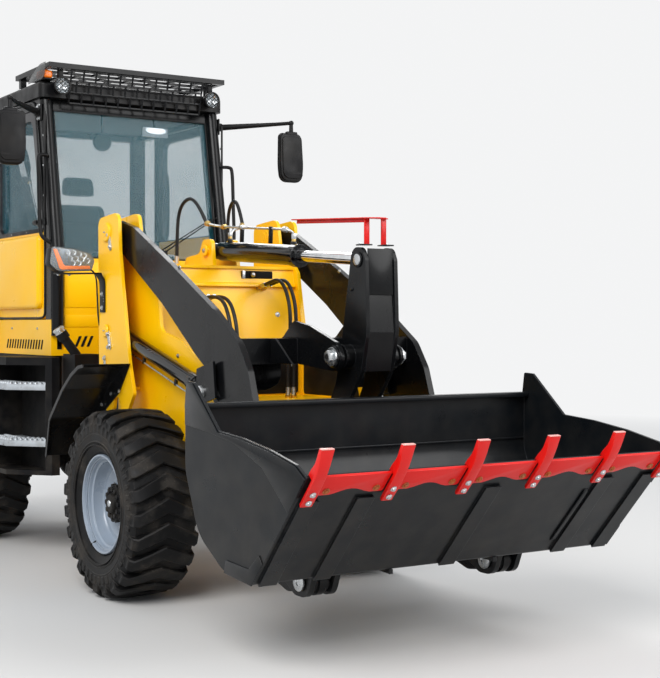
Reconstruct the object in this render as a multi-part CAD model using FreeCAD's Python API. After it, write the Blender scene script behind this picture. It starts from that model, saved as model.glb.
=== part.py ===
# Articulated backhoe loader: loader on the front frame, cab and backhoe on the rear frame.
# Millimetres. +X forward, +Y to the machine's left, +Z up. The model is laid out from the ground
# under the middle of the front axle, then moved so its origin is the bottom centre of the whole.
import FreeCAD, Part
import math
import os

from FreeCAD import Vector

os.makedirs("parts", exist_ok=True)

# ---- driving dimensions -------------------------------------------------------------------
wheelbase = 2600.0
tyre_radius = 530.0
tyre_width = 400.0
track_half = 755.0            # middle of a tyre, from the centre line
rim_radius = 254.0            # bead seat
rim_flange = 281.0
pivot_x = -1300.0             # articulation pin
pin_gap = 0.05                # running clearance of a pin in its bore, on the radius
side_gap = 6.0                # clearance beside a moving plate

# loader
arm_y = 555.0                 # middle of each loader arm
arm_thick = 36.0
arm_boss_half = 44.0
arm_pin = (-610.0, 2100.0)    # arm pivot in the tower (x, z)
bucket_pin = (1680.0, 335.0)
rocker_pin = (1280.0, 1375.0)
rocker_top_pin = (1360.0, 1870.0)
rocker_low_pin = (980.0, 840.0)
link_pin = (1380.0, 420.0)    # link's pin in the bucket ears
tilt_base = (-320.0, 1990.0)
lift_base = (-620.0, 1500.0)
lift_eye = (600.0, 1175.0)
bucket_width = 2100.0
bucket_plate = 14.0
bucket_heel = (1955.0, 402.0)
bucket_lip = (2412.0, 916.0)
tooth_pitch = 404.0
tower_plate = 22.0
tower_outer = 605.0           # inner face of the outer tower plate
tower_inner = 495.0           # outer face of the inner tower plate
tower_top = 2210.0
frame_nose = 580.0
nose_top = 1100.0
ledge_top = 1898.0

# cab
cab_half = 665.0
cab_wall = 42.0
cab_front = -1450.0
cab_lean = 200.0              # how far the windscreen leans back
cab_rear = -2950.0
cab_floor = 1330.0
cab_waist = 1980.0
cab_top = 3060.0
roof_thick = 110.0
mount_face = 535.0            # outer face of the cab mounts
door_front = -1552.0
door_rear = -2512.0
door_low = 1575.0
door_high = 2985.0
door_gap = 6.0
post_wide = 92.0
header_low = 2985.0            # underside of the cab's front and rear headers
quarter_front = -2596.0       # rear edge of the door post
hinge_out = 12.0              # door hinge axis outside the cab's side
hinge_heights = (1700.0, 2300.0, 2860.0)
seat_gap = 0.3                # between pieces that seat on each other
glass_thick = 6.0
guard_top = 3280.0
guard_half = cab_half - 10
console_out = cab_half - 105    # outer face of the side console

# backhoe
swing_x = -3520.0
foot_pin = (-3780.0, 800.0)
boom_tip = (-4050.0, 2950.0)
boom_half = 90.0
stick_pin = (-4500.0, 1560.0)  # hoe bucket pin at the stick's end
stick_half = 62.0
stick_lever = (-4070.0, 3220.0)
boom_ram_base = (-3616.0, 1109.0)
boom_ram_eye = (-3533.0, 1872.0)
stick_ram_base = (-3460.0, 2200.0)
hoe_ram_base = (-4214.0, 2644.0)
idler_pin = (-4445.0, 1837.0)
idler_eye = (-4616.0, 1702.0)
coupler_pin = (-4598.0, 1403.0)
hoe_bucket_half = 225.0
leg_y = 860.0
leg_half = 60.0
leg_x = -3240.0
leg_wall = 12.0
leg_gap = 0.8                 # running gap round a leg in its sleeve
tie_hole = 25.0               # radius of the tie-down holes at the rear

nodes = {}


# ---- helpers ------------------------------------------------------------------------------
def box(x0, x1, y0, y1, z0, z1):
    size = (abs(x1 - x0), abs(y1 - y0), abs(z1 - z0))
    return Part.makeBox(*size, Vector(min(x0, x1), min(y0, y1), min(z0, z1)))


def pin_y(at, radius, y0, y1):
    low = min(y0, y1)
    return Part.makeCylinder(radius, abs(y1 - y0), Vector(at[0], low, at[1]), Vector(0, 1, 0))


def pin_z(x, y, radius, z0, z1):
    return Part.makeCylinder(radius, abs(z1 - z0), Vector(x, y, min(z0, z1)), Vector(0, 0, 1))


def pin_x(y, z, radius, x0, x1):
    return Part.makeCylinder(radius, abs(x1 - x0), Vector(min(x0, x1), y, z), Vector(1, 0, 0))


def bar(start, end, radius):
    along = end - start
    return Part.makeCylinder(radius, along.Length, start, along)


def rounded_wire(points, y=0.0):
    """Closed outline in the XZ plane; a point may carry a corner radius as its third number."""
    count = len(points)
    corners = [Vector(p[0], y, p[1]) for p in points]
    radii = [p[2] if len(p) > 2 else 0.0 for p in points]
    edges = []
    ends = []
    for i, corner in enumerate(corners):
        before = corners[i - 1] - corner
        after = corners[(i + 1) % count] - corner
        room = 0.49 * min(before.Length, after.Length)
        before.normalize()
        after.normalize()
        turn = before.getAngle(after)
        if radii[i] <= 0 or math.pi - turn < 0.01:
            ends.append((corner, corner))
            continue
        radius = min(radii[i], room * math.tan(turn / 2))
        reach = radius / math.tan(turn / 2)
        start = corner + before * reach
        finish = corner + after * reach
        inward = (before + after).normalize()
        centre = corner + inward * (radius / math.sin(turn / 2))
        middle = centre - inward * radius
        edges.append(Part.Arc(start, middle, finish).toShape())
        ends.append((start, finish))
    for i in range(count):
        start = ends[i][1]
        finish = ends[(i + 1) % count][0]
        if (finish - start).Length > 1e-6:
            edges.append(Part.makeLine(start, finish))
    return Part.Wire(Part.__sortEdges__(edges))


def plate(points, y0, y1):
    low = min(y0, y1)
    return Part.Face(rounded_wire(points, low)).extrude(Vector(0, abs(y1 - y0), 0))


def hull_plate(a, radius_a, b, radius_b, y0, y1):
    """Tapered link plate: two round ends joined by their outer tangents."""
    ax, az = a
    bx, bz = b
    length = math.hypot(bx - ax, bz - az)
    heading = math.atan2(bz - az, bx - ax)
    lean = math.acos((radius_a - radius_b) / length)
    corners = []
    for sign in (1, -1):
        for centre, radius in ((a, radius_a), (b, radius_b))[::sign]:
            angle = heading + sign * lean
            corners.append((centre[0] + radius * math.cos(angle), centre[1] + radius * math.sin(angle)))
    web = plate(corners, y0, y1)
    return join(web, pin_y(a, radius_a, y0, y1), pin_y(b, radius_b, y0, y1))


def mirrored(shape):
    return shape.mirror(Vector(0, 0, 0), Vector(0, 1, 0))


def pair(shape):
    return Part.makeCompound([shape, mirrored(shape)])


def solids(shape):
    return shape.Solids if shape.Solids else [shape]


def join(*shapes):
    parts = [s for shape in shapes for s in solids(shape)]
    if len(parts) == 1:
        return parts[0]
    return parts[0].multiFuse(parts[1:]).removeSplitter()


def cut(shape, *tools):
    tool = [s for t in tools for s in solids(t)]
    return shape.cut(tool)


def spun(profile, at_y=0.0):
    """Turn a closed (y, radius) profile about the Y axis."""
    corners = [Vector(0, y + at_y, radius) for y, radius in profile]
    wire = Part.makePolygon(corners + [corners[0]])
    return Part.Face(wire).revolve(Vector(0, 0, 0), Vector(0, 1, 0), 360)


def moved(shape, x=0.0, y=0.0, z=0.0):
    copy = shape.copy()
    copy.translate(Vector(x, y, z))
    return copy


def aimed(shape, start, end):
    """Place a piece drawn along +X from the origin so that it runs from start to end in XZ."""
    copy = shape.copy()
    angle = math.degrees(math.atan2(end[1] - start[1], end[0] - start[0]))
    copy.rotate(Vector(0, 0, 0), Vector(0, 1, 0), -angle)
    copy.translate(Vector(start[0], 0, start[1]))
    return copy


def distance(a, b):
    return math.hypot(b[0] - a[0], b[1] - a[1])


def beside(start, end, along, out):
    """Point at a distance along the line from start to end, and out to its left."""
    run = distance(start, end)
    dx = (end[0] - start[0]) / run
    dz = (end[1] - start[1]) / run
    return start[0] + dx * along - dz * out, start[1] + dz * along + dx * out


def cord_tube(points, radius):
    """Hose along straight runs joined by tangent arcs."""
    corners = [Vector(*p) for p in points]
    edges = []
    last = corners[0]
    for i in range(1, len(corners) - 1):
        before = corners[i - 1] - corners[i]
        after = corners[i + 1] - corners[i]
        shorter = 0.45 * min(before.Length, after.Length)
        before.normalize()
        after.normalize()
        start = corners[i] + before * shorter
        finish = corners[i] + after * shorter
        half = before.getAngle(after) / 2
        bend = shorter * math.tan(half)
        inward = (before + after).normalize()
        middle = corners[i] + inward * (bend / math.sin(half) - bend)
        edges.append(Part.makeLine(last, start))
        edges.append(Part.Arc(start, middle, finish).toShape())
        last = finish
    edges.append(Part.makeLine(last, corners[-1]))
    path = Part.Wire(edges)
    section = Part.Wire(Part.makeCircle(radius, corners[0], corners[1] - corners[0]))
    return path.makePipeShell([section], True, False)


# ---- hydraulic cylinders ------------------------------------------------------------------
def ram(base, eye, barrel_radius, rod_radius, barrel_length, rod_inside, half_base, half_eye,
        base_pin, eye_pin, eye_flat=0.0):
    """Barrel and rod of one cylinder in the plane y = 0; the rod's eye sits at eye."""
    reach = distance(base, eye)
    base_eye = base_pin + 22.0
    rod_eye = eye_pin + 20.0
    tube = pin_x(0, 0, barrel_radius, base_eye * 0.6, barrel_length)
    tube = join(tube, pin_x(0, 0, barrel_radius + 7, barrel_length - 60, barrel_length),
                pin_y((0, 0), base_eye, -half_base, half_base))
    bore = pin_x(0, 0, rod_radius + pin_gap, base_eye + 15, barrel_length + 1)
    chamber = pin_x(0, 0, barrel_radius - 9, base_eye + 15, barrel_length - 60)
    wide = max(half_base, barrel_radius) + 1
    barrel = cut(tube, bore, chamber, pin_y((0, 0), base_pin + pin_gap, -wide, wide))
    rod_start = barrel_length - rod_inside
    rod_end = reach - max(eye_flat, rod_eye * 0.6)
    rod = pin_x(0, 0, rod_radius, rod_start, rod_end)
    head = pin_y((reach, 0), rod_eye, -half_eye, half_eye)
    if eye_flat > 0:
        shank = box(reach - eye_flat - 6, reach, -half_eye, half_eye, -rod_eye * 0.8, rod_eye * 0.8)
        head = join(head, shank)
    rod = join(rod, head)
    rod = cut(rod, pin_y((reach, 0), eye_pin + pin_gap, -half_eye - 1, half_eye + 1))
    return aimed(barrel, base, eye), aimed(rod, base, eye)


# ---- wheels and axles ---------------------------------------------------------------------
def tyre_profile():
    half = tyre_width / 2
    bead = half - 47.3
    outer = [(-bead, rim_radius + seat_gap), (-bead, rim_flange + 4), (-half + 38, rim_flange + 14),
             (-half + 6, 360), (-half, 430), (-half + 14, 492), (-half + 46, tyre_radius - 9),
             (-half + 80, tyre_radius)]
    inner = [(-half + 78, rim_radius + seat_gap), (-half + 74, rim_flange + 20), (-half + 38, 370),
             (-half + 34, 430), (-half + 48, 474), (-half + 90, tyre_radius - 36)]
    outside = outer + [(-y, radius) for y, radius in reversed(outer)]
    inside = inner + [(-y, radius) for y, radius in reversed(inner)]
    return outside + list(reversed(inside))


def rim_profile():
    half = tyre_width / 2 - 46
    return [(-half - 12, rim_flange), (-half + 1, rim_flange), (-half + 1, rim_radius), (half - 1, rim_radius),
            (half - 1, rim_flange), (half + 12, rim_flange), (half + 12, rim_flange - 8),
            (half + 4, rim_radius - 12), (44, rim_radius - 14), (30, 205), (30, 108), (18, 108), (18, 200),
            (0, rim_radius - 14), (-half - 4, rim_radius - 12), (-half - 12, rim_flange - 8)]


def wheel(name, x, side):
    tyre = spun(tyre_profile())
    rim = spun(rim_profile())
    hub = join(pin_y((0, 0), 104, -132, 60), pin_y((0, 0), 78, 60, 96))
    hub = cut(hub, pin_y((0, 0), 42 + pin_gap, -133, -60))
    flange = pin_y((0, 0), 150, 6, 18)
    wheel_rim = join(rim, hub, flange)
    for shape, kind in ((tyre, "tyre"), (wheel_rim, "rim")):
        placed = shape if side > 0 else mirrored(shape)
        nodes[kind + "_" + name] = moved(placed, x, side * track_half, tyre_radius)


def axle(name, x):
    spindle_end = track_half - 64
    beam = join(pin_y((x, tyre_radius), 72, -600, 600),
                Part.makeSphere(165, Vector(x, 0, tyre_radius)),
                pin_y((x, tyre_radius), 120, -616, -590), pin_y((x, tyre_radius), 120, 590, 616),
                pin_y((x, tyre_radius), 42, -spindle_end, spindle_end),
                pin_x(0, tyre_radius, 70, x, x + (-300 if x > -100 else 300)),
                box(x - 70, x + 70, 330, 430, tyre_radius, tyre_radius + 100),
                box(x - 70, x + 70, -430, -330, tyre_radius, tyre_radius + 100))
    nodes[name] = beam


# ---- front frame --------------------------------------------------------------------------
def cross_face(z):
    """x of the front face of the leaning plate between the towers."""
    return -246 + 118 * (1880 - z) / 580


def front_chassis():
    side = plate([(-745, 2190, 60), (-445, 2213, 60), (-400, 2010, 40), (-235, 1915, 20), (-190, 1860, 20),
                  (-130, 1500, 60), (120, 1450, 60), (460, 1300, 80), (frame_nose, nose_top, 20),
                  (frame_nose, 520, 30), (300, 480, 20), (200, 630, 30), (-230, 630, 30), (-330, 440, 30),
                  (-745, 440, 30)], tower_inner - tower_plate, tower_inner)
    outer = plate([(-745, 2190, 60), (-445, 2213, 60), (-430, 1980, 40), (-290, 1311), (-225, 1130, 30),
                   (-330, 1000, 30), (-395, 1010, 12), (-440, 1100, 20), (-500, 1105, 20), (-520, 1030, 20),
                   (-610, 1000, 20), (-700, 1110, 20), (-735, 1300)], tower_outer, tower_outer + tower_plate)
    spacer = join(box(-745, -725, tower_inner, tower_outer, 1120, 2130),
                  box(-700, -420, tower_inner, tower_outer, 1140, 1160))
    sides = join(side, outer, spacer,
                 pin_y(arm_pin, 35, tower_inner - tower_plate - 8, tower_outer + tower_plate + 8),
                 pin_y(arm_pin, 62, tower_inner - tower_plate - 4, tower_inner - tower_plate),
                 pin_y(arm_pin, 62, tower_outer + tower_plate, tower_outer + tower_plate + 4),
                 pin_y(lift_base, 25, tower_inner - tower_plate, tower_outer + tower_plate + 6))
    reach = tower_inner - tower_plate
    cross = plate([(-262, 1880), (-246, 1880), (-128, 1300), (-144, 1300)], -reach, reach)
    ledge = box(-700, -235, -reach, reach, 1880, ledge_top)
    rear_wall = box(-745, -727, -reach, reach, 640, 1898)
    nose = join(box(-150, frame_nose, -reach, reach, nose_top - 16, nose_top),
                box(frame_nose - 18, frame_nose, -reach, reach, 560, nose_top),
                box(-144, -128, -reach, reach, 1084, 1310))
    belly = join(box(-745, -300, -reach, reach, 640, 660), box(-330, -314, -reach, reach, 470, 650))
    ear = plate([(-640, 1890), (-600, 1960, 30), (-420, 1975, 60), (-370, 2060, 40), (-262, 2060, 40),
                 (-240, 1890)], 70, 95)
    ears = join(ear, mirrored(ear), pin_y(tilt_base, 27, -108, 108))
    lug = join(plate([(-745, 800), (-1240, 800), (-1240, 852), (-745, 852)], -240, 240),
               plate([(-745, 528), (-1240, 528), (-1240, 580), (-745, 580)], -240, 240),
               pin_z(pivot_x, 0, 95, 800, 852), pin_z(pivot_x, 0, 95, 528, 580),
               box(-1250, pivot_x, -95, 95, 800, 852), box(-1250, pivot_x, -95, 95, 528, 580))
    taper = []
    for sign in (1, -1):
        wedge = Part.makePolygon([Vector(-1260, sign * 95, 500), Vector(-1260, sign * 260, 500),
                                  Vector(-860, sign * 260, 500), Vector(-1260, sign * 95, 500)])
        taper.append(Part.Face(wedge).extrude(Vector(0, 0, 400)))
    lug = cut(lug, *taper)
    webs = join(box(-1110, -730, 130, 150, 560, 820), box(-1110, -730, -150, -130, 560, 820),
                box(-750, -727, -300, 300, 520, 860))
    ears_steer = []
    for sign in (1, -1):
        y = sign * 300
        ears_steer.append(box(-830, -727, y - 60, y + 60, 655, 667))
        ears_steer.append(box(-830, -727, y - 60, y + 60, 713, 725))
        ears_steer.append(pin_z(-830, y, 40, 655, 667))
        ears_steer.append(pin_z(-830, y, 40, 713, 725))
        ears_steer.append(pin_z(-830, y, 15, 667, 671))
        ears_steer.append(pin_z(-830, y, 15, 709, 713))
    frame = join(sides, mirrored(sides), cross, ledge, rear_wall, nose, belly, ears, lug, webs, *ears_steer)
    bore = pin_z(pivot_x, 0, 40 + pin_gap, 500, 900)
    beam_pads = []
    for sign in (1, -1):
        beam_pads.append(box(-110, 110, sign * 330, sign * reach, 630.2, 650))
    frame = join(frame, *beam_pads)
    nodes["front_chassis"] = cut(frame, bore)


def front_fenders():
    side_face = tower_outer + tower_plate + 0.3
    inside = [(-265, 1308), (-340, 1298), (-450, 1248), (-585, 1160), (-800, 968), (-862, 734)]
    outline = [(x, z, 60 if 0 < i < 5 else 0) for i, (x, z) in enumerate(inside)]
    under = [(-856, 733), (-792, 962, 54), (-580, 1153, 54), (-446, 1241, 54), (-338, 1291, 54), (-265, 1301)]
    sheet = plate(outline + under, 634, 930)
    wall = plate([(-265, 1308), (-340, 1298), (-450, 1248), (-585, 1160), (-800, 968), (-862, 734),
                  (-790, 760, 30), (-640, 1010, 60), (-420, 1130, 60)], side_face, 634)
    lip = plate(outline + [(x + 16, z - 18) for x, z, _ in reversed(outline)], 922, 930)
    nodes["front_fenders"] = pair(join(sheet, wall, lip))


def headlights():
    side_face = tower_outer + tower_plate + 0.3
    bracket = join(box(-690, -610, side_face, 640, 1610, 1750), box(-680, -640, 632, 668, 1700, 1716),
                   bar(Vector(-660, 660, 1708), Vector(-730, 720, 1800), 14),
                   bar(Vector(-730, 720, 1800), Vector(-800, 790, 1868), 14))
    body = plate([(-860, 1868, 20), (-762, 1862, 12), (-750, 1960, 12), (-790, 2010, 20), (-866, 2002, 20)],
                 655, 935)
    nodes["headlights"] = pair(join(bracket, body))


def hydraulic_hoses():
    deck = nose_top + seat_gap
    routes = []
    for y in (-150, -190):
        start = cross_face(1690) + seat_gap
        routes.append([(start, y, 1690), (start + 98, y, 1710), (90, y - 10, 1690), (190, y - 20, 1570),
                       (215, y - 20, 1430), (160, y - 10, 1260), (160, y - 10, deck)])
    for y in (210, 250):
        start = cross_face(1765) + seat_gap
        routes.append([(start, y, 1765), (start + 98, y, 1785), (50, y, 1820), (150, y, 1700), (175, y, 1540),
                       (140, y, 1330), (140, y, deck)])
    for y in (-60, 60):
        routes.append([(-560, 3 * y, ledge_top + seat_gap), (-560, 3 * y, 2060), (-545, 2.9 * y, 2260),
                       (-430, 2.6 * y, 2330), (-330, 2.3 * y, 2260), (-270, 2.1 * y, 2162)])
    hoses = [cord_tube(route, 11) for route in routes]
    nodes["hydraulic_hoses"] = Part.makeCompound(hoses)


# ---- loader -------------------------------------------------------------------------------
def loader_arms():
    half = arm_thick / 2
    y0 = arm_y - half
    y1 = arm_y + half
    blade = plate([(-600, 2178, 20), (-350, 2120, 200), (140, 1890, 400), (680, 1620, 200), (960, 1440, 120),
                   (1060, 1300, 120), (1120, 1130, 120), (1135, 860, 160), (1215, 650, 160), (1400, 485, 120),
                   (1600, 395, 30), (1640, 270, 30), (1450, 245, 100), (1230, 310, 160), (1010, 560, 200),
                   (850, 860, 200), (740, 1120, 60), (620, 1290, 60), (480, 1370, 60), (50, 1660, 300),
                   (-560, 2000, 30)], y0, y1)
    blade = join(blade, pin_y(arm_pin, 74, y0, y1), pin_y(bucket_pin, 72, y0, y1))
    boss = join(pin_y(arm_pin, 62, arm_y - arm_boss_half, arm_y + arm_boss_half),
                pin_y(bucket_pin, 62, arm_y - arm_boss_half, arm_y + arm_boss_half))
    blade = cut(blade, pin_y(lift_eye, 74, y0 - 1, y1 + 1))
    cheeks = []
    for low, high, stub in ((arm_y - 50, arm_y - 36, 1), (arm_y + 36, arm_y + 50, -1)):
        cheek = plate([(545, 1300, 10), (540, 1150, 40), (600, 1110, 40), (680, 1130, 40), (760, 1150),
                       (735, 1345)], low, high)
        start = high if stub > 0 else low
        cheeks.append(join(cheek, pin_y(lift_eye, 22, start - stub, start + stub * 9)))
    web = join(plate([(640, 1262), (735, 1145), (750, 1160), (660, 1290)], arm_y - 50, arm_y + 50),
               plate([(560, 1301), (700, 1300), (700, 1286), (575, 1286)], arm_y - 50, arm_y + 50))
    arm = join(blade, boss, web, *cheeks)
    arm = cut(arm, pin_y(arm_pin, 35 + pin_gap, 480, 640), pin_y(bucket_pin, 32 + pin_gap, 480, 640))
    reach = arm_y - half
    beam = join(box(720, 900, -reach, reach, 1330, 1466))
    hollow = box(734, 886, -reach + 1, reach - 1, 1344, 1452)
    beam = cut(beam, hollow)
    bracket = plate([(740, 1466), (860, 1560, 40), (1030, 1530, 60), (1290, 1445, 66), (1345, 1370, 60),
                     (1290, 1295, 66), (900, 1330)], 160, 182)
    brackets = join(bracket, mirrored(bracket))
    ring = join(pin_y(rocker_pin, 60, 182, 192), pin_y(rocker_pin, 60, -192, -182))
    pin = pin_y(rocker_pin, 33, -200, 200)
    nodes["loader_arms"] = join(arm, mirrored(arm), beam, brackets, ring, pin)


def rocker():
    outline = [(1298, 1905, 30), (1330, 1935, 50), (1395, 1932, 50), (1425, 1870, 30), (1440, 1500, 200),
               (1385, 1290, 80), (1165, 1010, 200), (1040, 800, 60), (960, 778, 50), (925, 850, 50),
               (1010, 1000, 200), (1150, 1230, 150), (1200, 1420, 150)]
    side = plate(outline, 78, 100)
    web = plate([(1350, 1700), (1418, 1700), (1432, 1500), (1395, 1300), (1365, 1300), (1380, 1480)], -78, 78)
    hub = pin_y(rocker_pin, 62, -152, 152)
    stubs = []
    for sign in (1, -1):
        stubs.append(pin_y(rocker_top_pin, 28, sign * 46, sign * 106))
        stubs.append(pin_y(rocker_low_pin, 28, sign * 46, sign * 106))
    plain = join(side, mirrored(side), web, hub, *stubs)
    nodes["rocker"] = cut(plain, pin_y(rocker_pin, 33 + pin_gap, -160, 160))


def bucket_link():
    link = hull_plate(link_pin, 52, rocker_low_pin, 52, -40, 40)
    slot = hull_plate((1290, 515), 22, (1070, 745), 22, -41, 41)
    link = cut(link, slot)
    nodes["bucket_link"] = cut(link, pin_y(link_pin, 27 + pin_gap, -50, 50),
                               pin_y(rocker_low_pin, 28 + pin_gap, -50, 50))


def floor_point(along, out):
    """A point near the bucket's lip: along the floor past the lip, and out from its underside."""
    return beside(bucket_heel, bucket_lip, distance(bucket_heel, bucket_lip) + along, -out)


def bucket_shell():
    half = bucket_width / 2
    skin = [(1306, 1160), (1306, 850, 180), (1440, 560, 240), (1700, 418, 300), (1955, 402, 30), (2412, 916),
            (2402, 926), (1949.5, 417, 30), (1704, 434, 286), (1450, 570, 226), (1321, 855, 166), (1321, 1160)]
    shell = plate(skin, -half, half)
    side = [(1306, 1162), (1306, 850, 180), (1440, 560, 240), (1700, 418, 300), (1955, 402, 30), (2412, 916),
            (2330, 962, 30), (2110, 1007), (1870, 1040), (1643, 1057), (1393, 1268, 10), (1322, 1272, 10)]
    plates = join(plate(side, half - bucket_plate, half), plate(side, -half, -half + bucket_plate))
    top_bar = box(1300, 1352, -half, half, 1146, 1162)
    rib = [(1306, 1120), (1306, 850, 180), (1440, 560, 240), (1700, 418, 300), (1955, 402), (1955, 380),
           (1690, 395, 320), (1425, 540, 260), (1284, 850, 190), (1284, 1120)]
    ears = []
    for sign in (1, -1):
        for low, high in ((arm_y - 80, arm_y - 50), (arm_y + 50, arm_y + 80)):
            ear = plate([(1430, 590), (1500, 330, 60), (1625, 262, 70), (1735, 262, 70), (1800, 420),
                         (1620, 470)], sign * low, sign * high)
            ears.append(ear)
        ears.append(pin_y(bucket_pin, 32, sign * (arm_y - 86), sign * (arm_y + 86)))
        ears.append(plate(rib, sign * 300, sign * 320))
        link_ear = plate([(1360, 720), (1320, 500, 50), (1340, 355, 55), (1425, 355, 55), (1560, 490)],
                         sign * 46, sign * 66)
        ears.append(link_ear)
    ears.append(pin_y(link_pin, 27, -72, 72))
    under = []
    for y in (-980, -700, 0, 700, 980):
        strip = plate([(1960, 409), floor_point(-150, 0), floor_point(-140, 13), (1968, 396)], y - 45, y + 45)
        under.append(strip)
    nodes["bucket_shell"] = join(shell, plates, top_bar, *ears, *under)


def bucket_edge():
    half = bucket_width / 2
    gap = 0.3
    blade_thick = 14.0
    blade = plate([floor_point(-112, gap), floor_point(12, gap), floor_point(12, blade_thick),
                   floor_point(-112, blade_thick)], -half + 2, half - 2)
    jaw = bucket_plate + gap
    teeth = []
    count = 6
    for i in range(count):
        y = (i - (count - 1) / 2) * tooth_pitch
        tooth = plate([floor_point(-130, -34), floor_point(-20, -46) + (20,), floor_point(60, -34) + (20,),
                       floor_point(160, 2) + (5,), floor_point(158, 14) + (5,), floor_point(60, 34) + (20,),
                       floor_point(-60, 36) + (20,), floor_point(-130, 30)], y - 24, y + 24)
        slot = plate([floor_point(-200, -jaw), floor_point(2, -jaw), floor_point(2, gap), floor_point(-200, gap)],
                     y - 30, y + 30)
        teeth.append(cut(tooth, slot))
    nodes["bucket_edge"] = join(blade, *teeth)


def loader_rams():
    barrel, rod = ram(tilt_base, rocker_top_pin, 58, 31.5, 955, 400, 62, 40, 27, 28)
    nodes["tilt_barrel"] = barrel
    nodes["tilt_rod"] = rod
    barrel, rod = ram(lift_base, lift_eye, 45, 28, 1120, 700, 44, 24, 25, 22, 96)
    nodes["lift_barrels"] = Part.makeCompound([moved(barrel, y=arm_y), moved(barrel, y=-arm_y)])
    nodes["lift_rods"] = Part.makeCompound([moved(rod, y=arm_y), moved(rod, y=-arm_y)])


# ---- rear frame ---------------------------------------------------------------------------
def rear_chassis():
    rail = box(-3148, -1560, 270, 320, 660, 900)
    rails = join(rail, mirrored(rail))
    head = box(-1600, -1560, -320, 320, 460, 920)
    upper = join(box(-1560, -1360, -250, 250, 857.5, 905), pin_z(pivot_x, 0, 90, 857.5, 905),
                 box(-1400, pivot_x, -90, 90, 857.5, 905))
    lower = join(box(-1560, -1360, -250, 250, 475, 522.5), pin_z(pivot_x, 0, 90, 475, 522.5),
                 box(-1400, pivot_x, -90, 90, 475, 522.5))
    pin = pin_z(pivot_x, 0, 40, 460, 920)
    cross = join(box(-2300, -2240, -270, 270, 680, 880), box(-2980, -2920, -270, 270, 680, 880))
    pad = box(-wheelbase - 70, -wheelbase + 70, 270, 430, 630.2, 662)
    pads = join(pad, mirrored(pad))
    mounts = []
    for x in (-1800, -2860):
        for sign in (1, -1):
            mounts.append(box(x - 60, x + 60, sign * 270, sign * mount_face, 900, 930))
            mounts.append(box(x - 40, x + 40, sign * 470, sign * mount_face, 930, cab_floor - seat_gap))
    steer = []
    for sign in (1, -1):
        y = sign * 250
        for low, high in ((648, 660), (720, 732)):
            steer.append(box(-1562, -1500, sign * 200, sign * 300, low, high))
            steer.append(pin_z(-1510, y, 34, low, high))
        steer.append(pin_z(-1510, y, 18, 648, 732))
    step_arms = []
    for sign in (1, -1):
        step_arms.append(box(-1960, -1900, sign * 320, sign * 650, 700, 740))
    nodes["rear_chassis"] = join(rails, head, upper, lower, pin, cross, pads, *mounts, *steer, *step_arms)


def steering_rams():
    for sign, name in ((1, "left"), (-1, "right")):
        base = Vector(-1510, sign * 250, 690)
        eye = Vector(-830, sign * 300, 690)
        barrel, rod = ram((0, 0), (distance((base.x, base.y), (eye.x, eye.y)), 0), 27, 17, 440, 200,
                          28, 18, 18, 15)
        for shape, kind in ((barrel, "barrel"), (rod, "rod")):
            turned = shape.copy()
            turned.rotate(Vector(0, 0, 0), Vector(1, 0, 0), 90)
            heading = math.degrees(math.atan2(eye.y - base.y, eye.x - base.x))
            turned.rotate(Vector(0, 0, 0), Vector(0, 0, 1), heading)
            turned.translate(base)
            nodes["steer_" + kind + "_" + name] = turned


def rear_fenders():
    cx = -wheelbase
    cz = tyre_radius
    outer = 690.0
    inner_face = mount_face + seat_gap
    behind = box(cx - 800, cx - 542, 500, 1000, -200, 2000)
    ahead = box(cx + 634, cx + 800, 500, 1000, -200, 2000)
    sheet = pin_y((cx, cz), outer, inner_face, 950)
    sheet = cut(sheet, pin_y((cx, cz), outer - 8, 500, 951), box(cx - 800, cx + 800, 500, 1000, -200, cz + 220))
    wall = pin_y((cx, cz), outer, inner_face, inner_face + 8)
    wall = cut(wall, box(cx - 800, cx + 800, 500, 1000, -200, cz + 420))
    nodes["rear_fenders"] = pair(cut(join(sheet, wall), behind, ahead))


def step_boxes():
    outline = [Vector(-1960, -940, 0), Vector(-1585, -925, 0), Vector(-1335, -705, 0), Vector(-1335, -650, 0),
               Vector(-1960, -650, 0)]
    wire = Part.makePolygon(outline + [outline[0]])
    block = Part.Face(wire).extrude(Vector(0, 0, cab_floor - 8 - 550))
    block = moved(block, z=550)
    inner = [Vector(-1930, -990, 0), Vector(-1585, -990, 0), Vector(-1370, -760, 0), Vector(-1370, -680, 0),
             Vector(-1930, -680, 0)]
    hollow = Part.Face(Part.makePolygon(inner + [inner[0]])).extrude(Vector(0, 0, cab_floor - 60 - 580))
    box_shape = cut(block, moved(hollow, z=580))
    treads = []
    for z in (1110, 740):
        points = [Vector(-1931, -930, z), Vector(-1590, -915, z), Vector(-1371, -722, z), Vector(-1371, -679, z),
                  Vector(-1931, -679, z)]
        face = Part.Face(Part.makePolygon(points + [points[0]]))
        treads.append(face.extrude(Vector(0, 0, 30)))
    whole = join(box_shape, *treads)
    nodes["side_steps"] = Part.makeCompound([whole, mirrored(whole)])


def tank():
    body = box(-1330, -1130, -628, -440, 745, 1345)
    neck = bar(Vector(-1185, -590, 1335), Vector(-1200, -672, 1450), 30)
    cap = bar(Vector(-1199, -668, 1446), Vector(-1204, -694, 1484), 40)
    arm = box(-1562, -1330, -560, -500, 800, 840)
    arm = join(arm, box(-1600, -1562, -560, -320, 800, 840))
    nodes["fuel_tank"] = join(body, neck, cap, arm)


def engine():
    block = box(-2780, -1700, -240, 240, 905, 1310)
    feet = [box(x - 50, x + 50, -310, 310, 900.3, 930) for x in (-2600, -1980)]
    nodes["engine"] = join(block, *feet)


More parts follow.
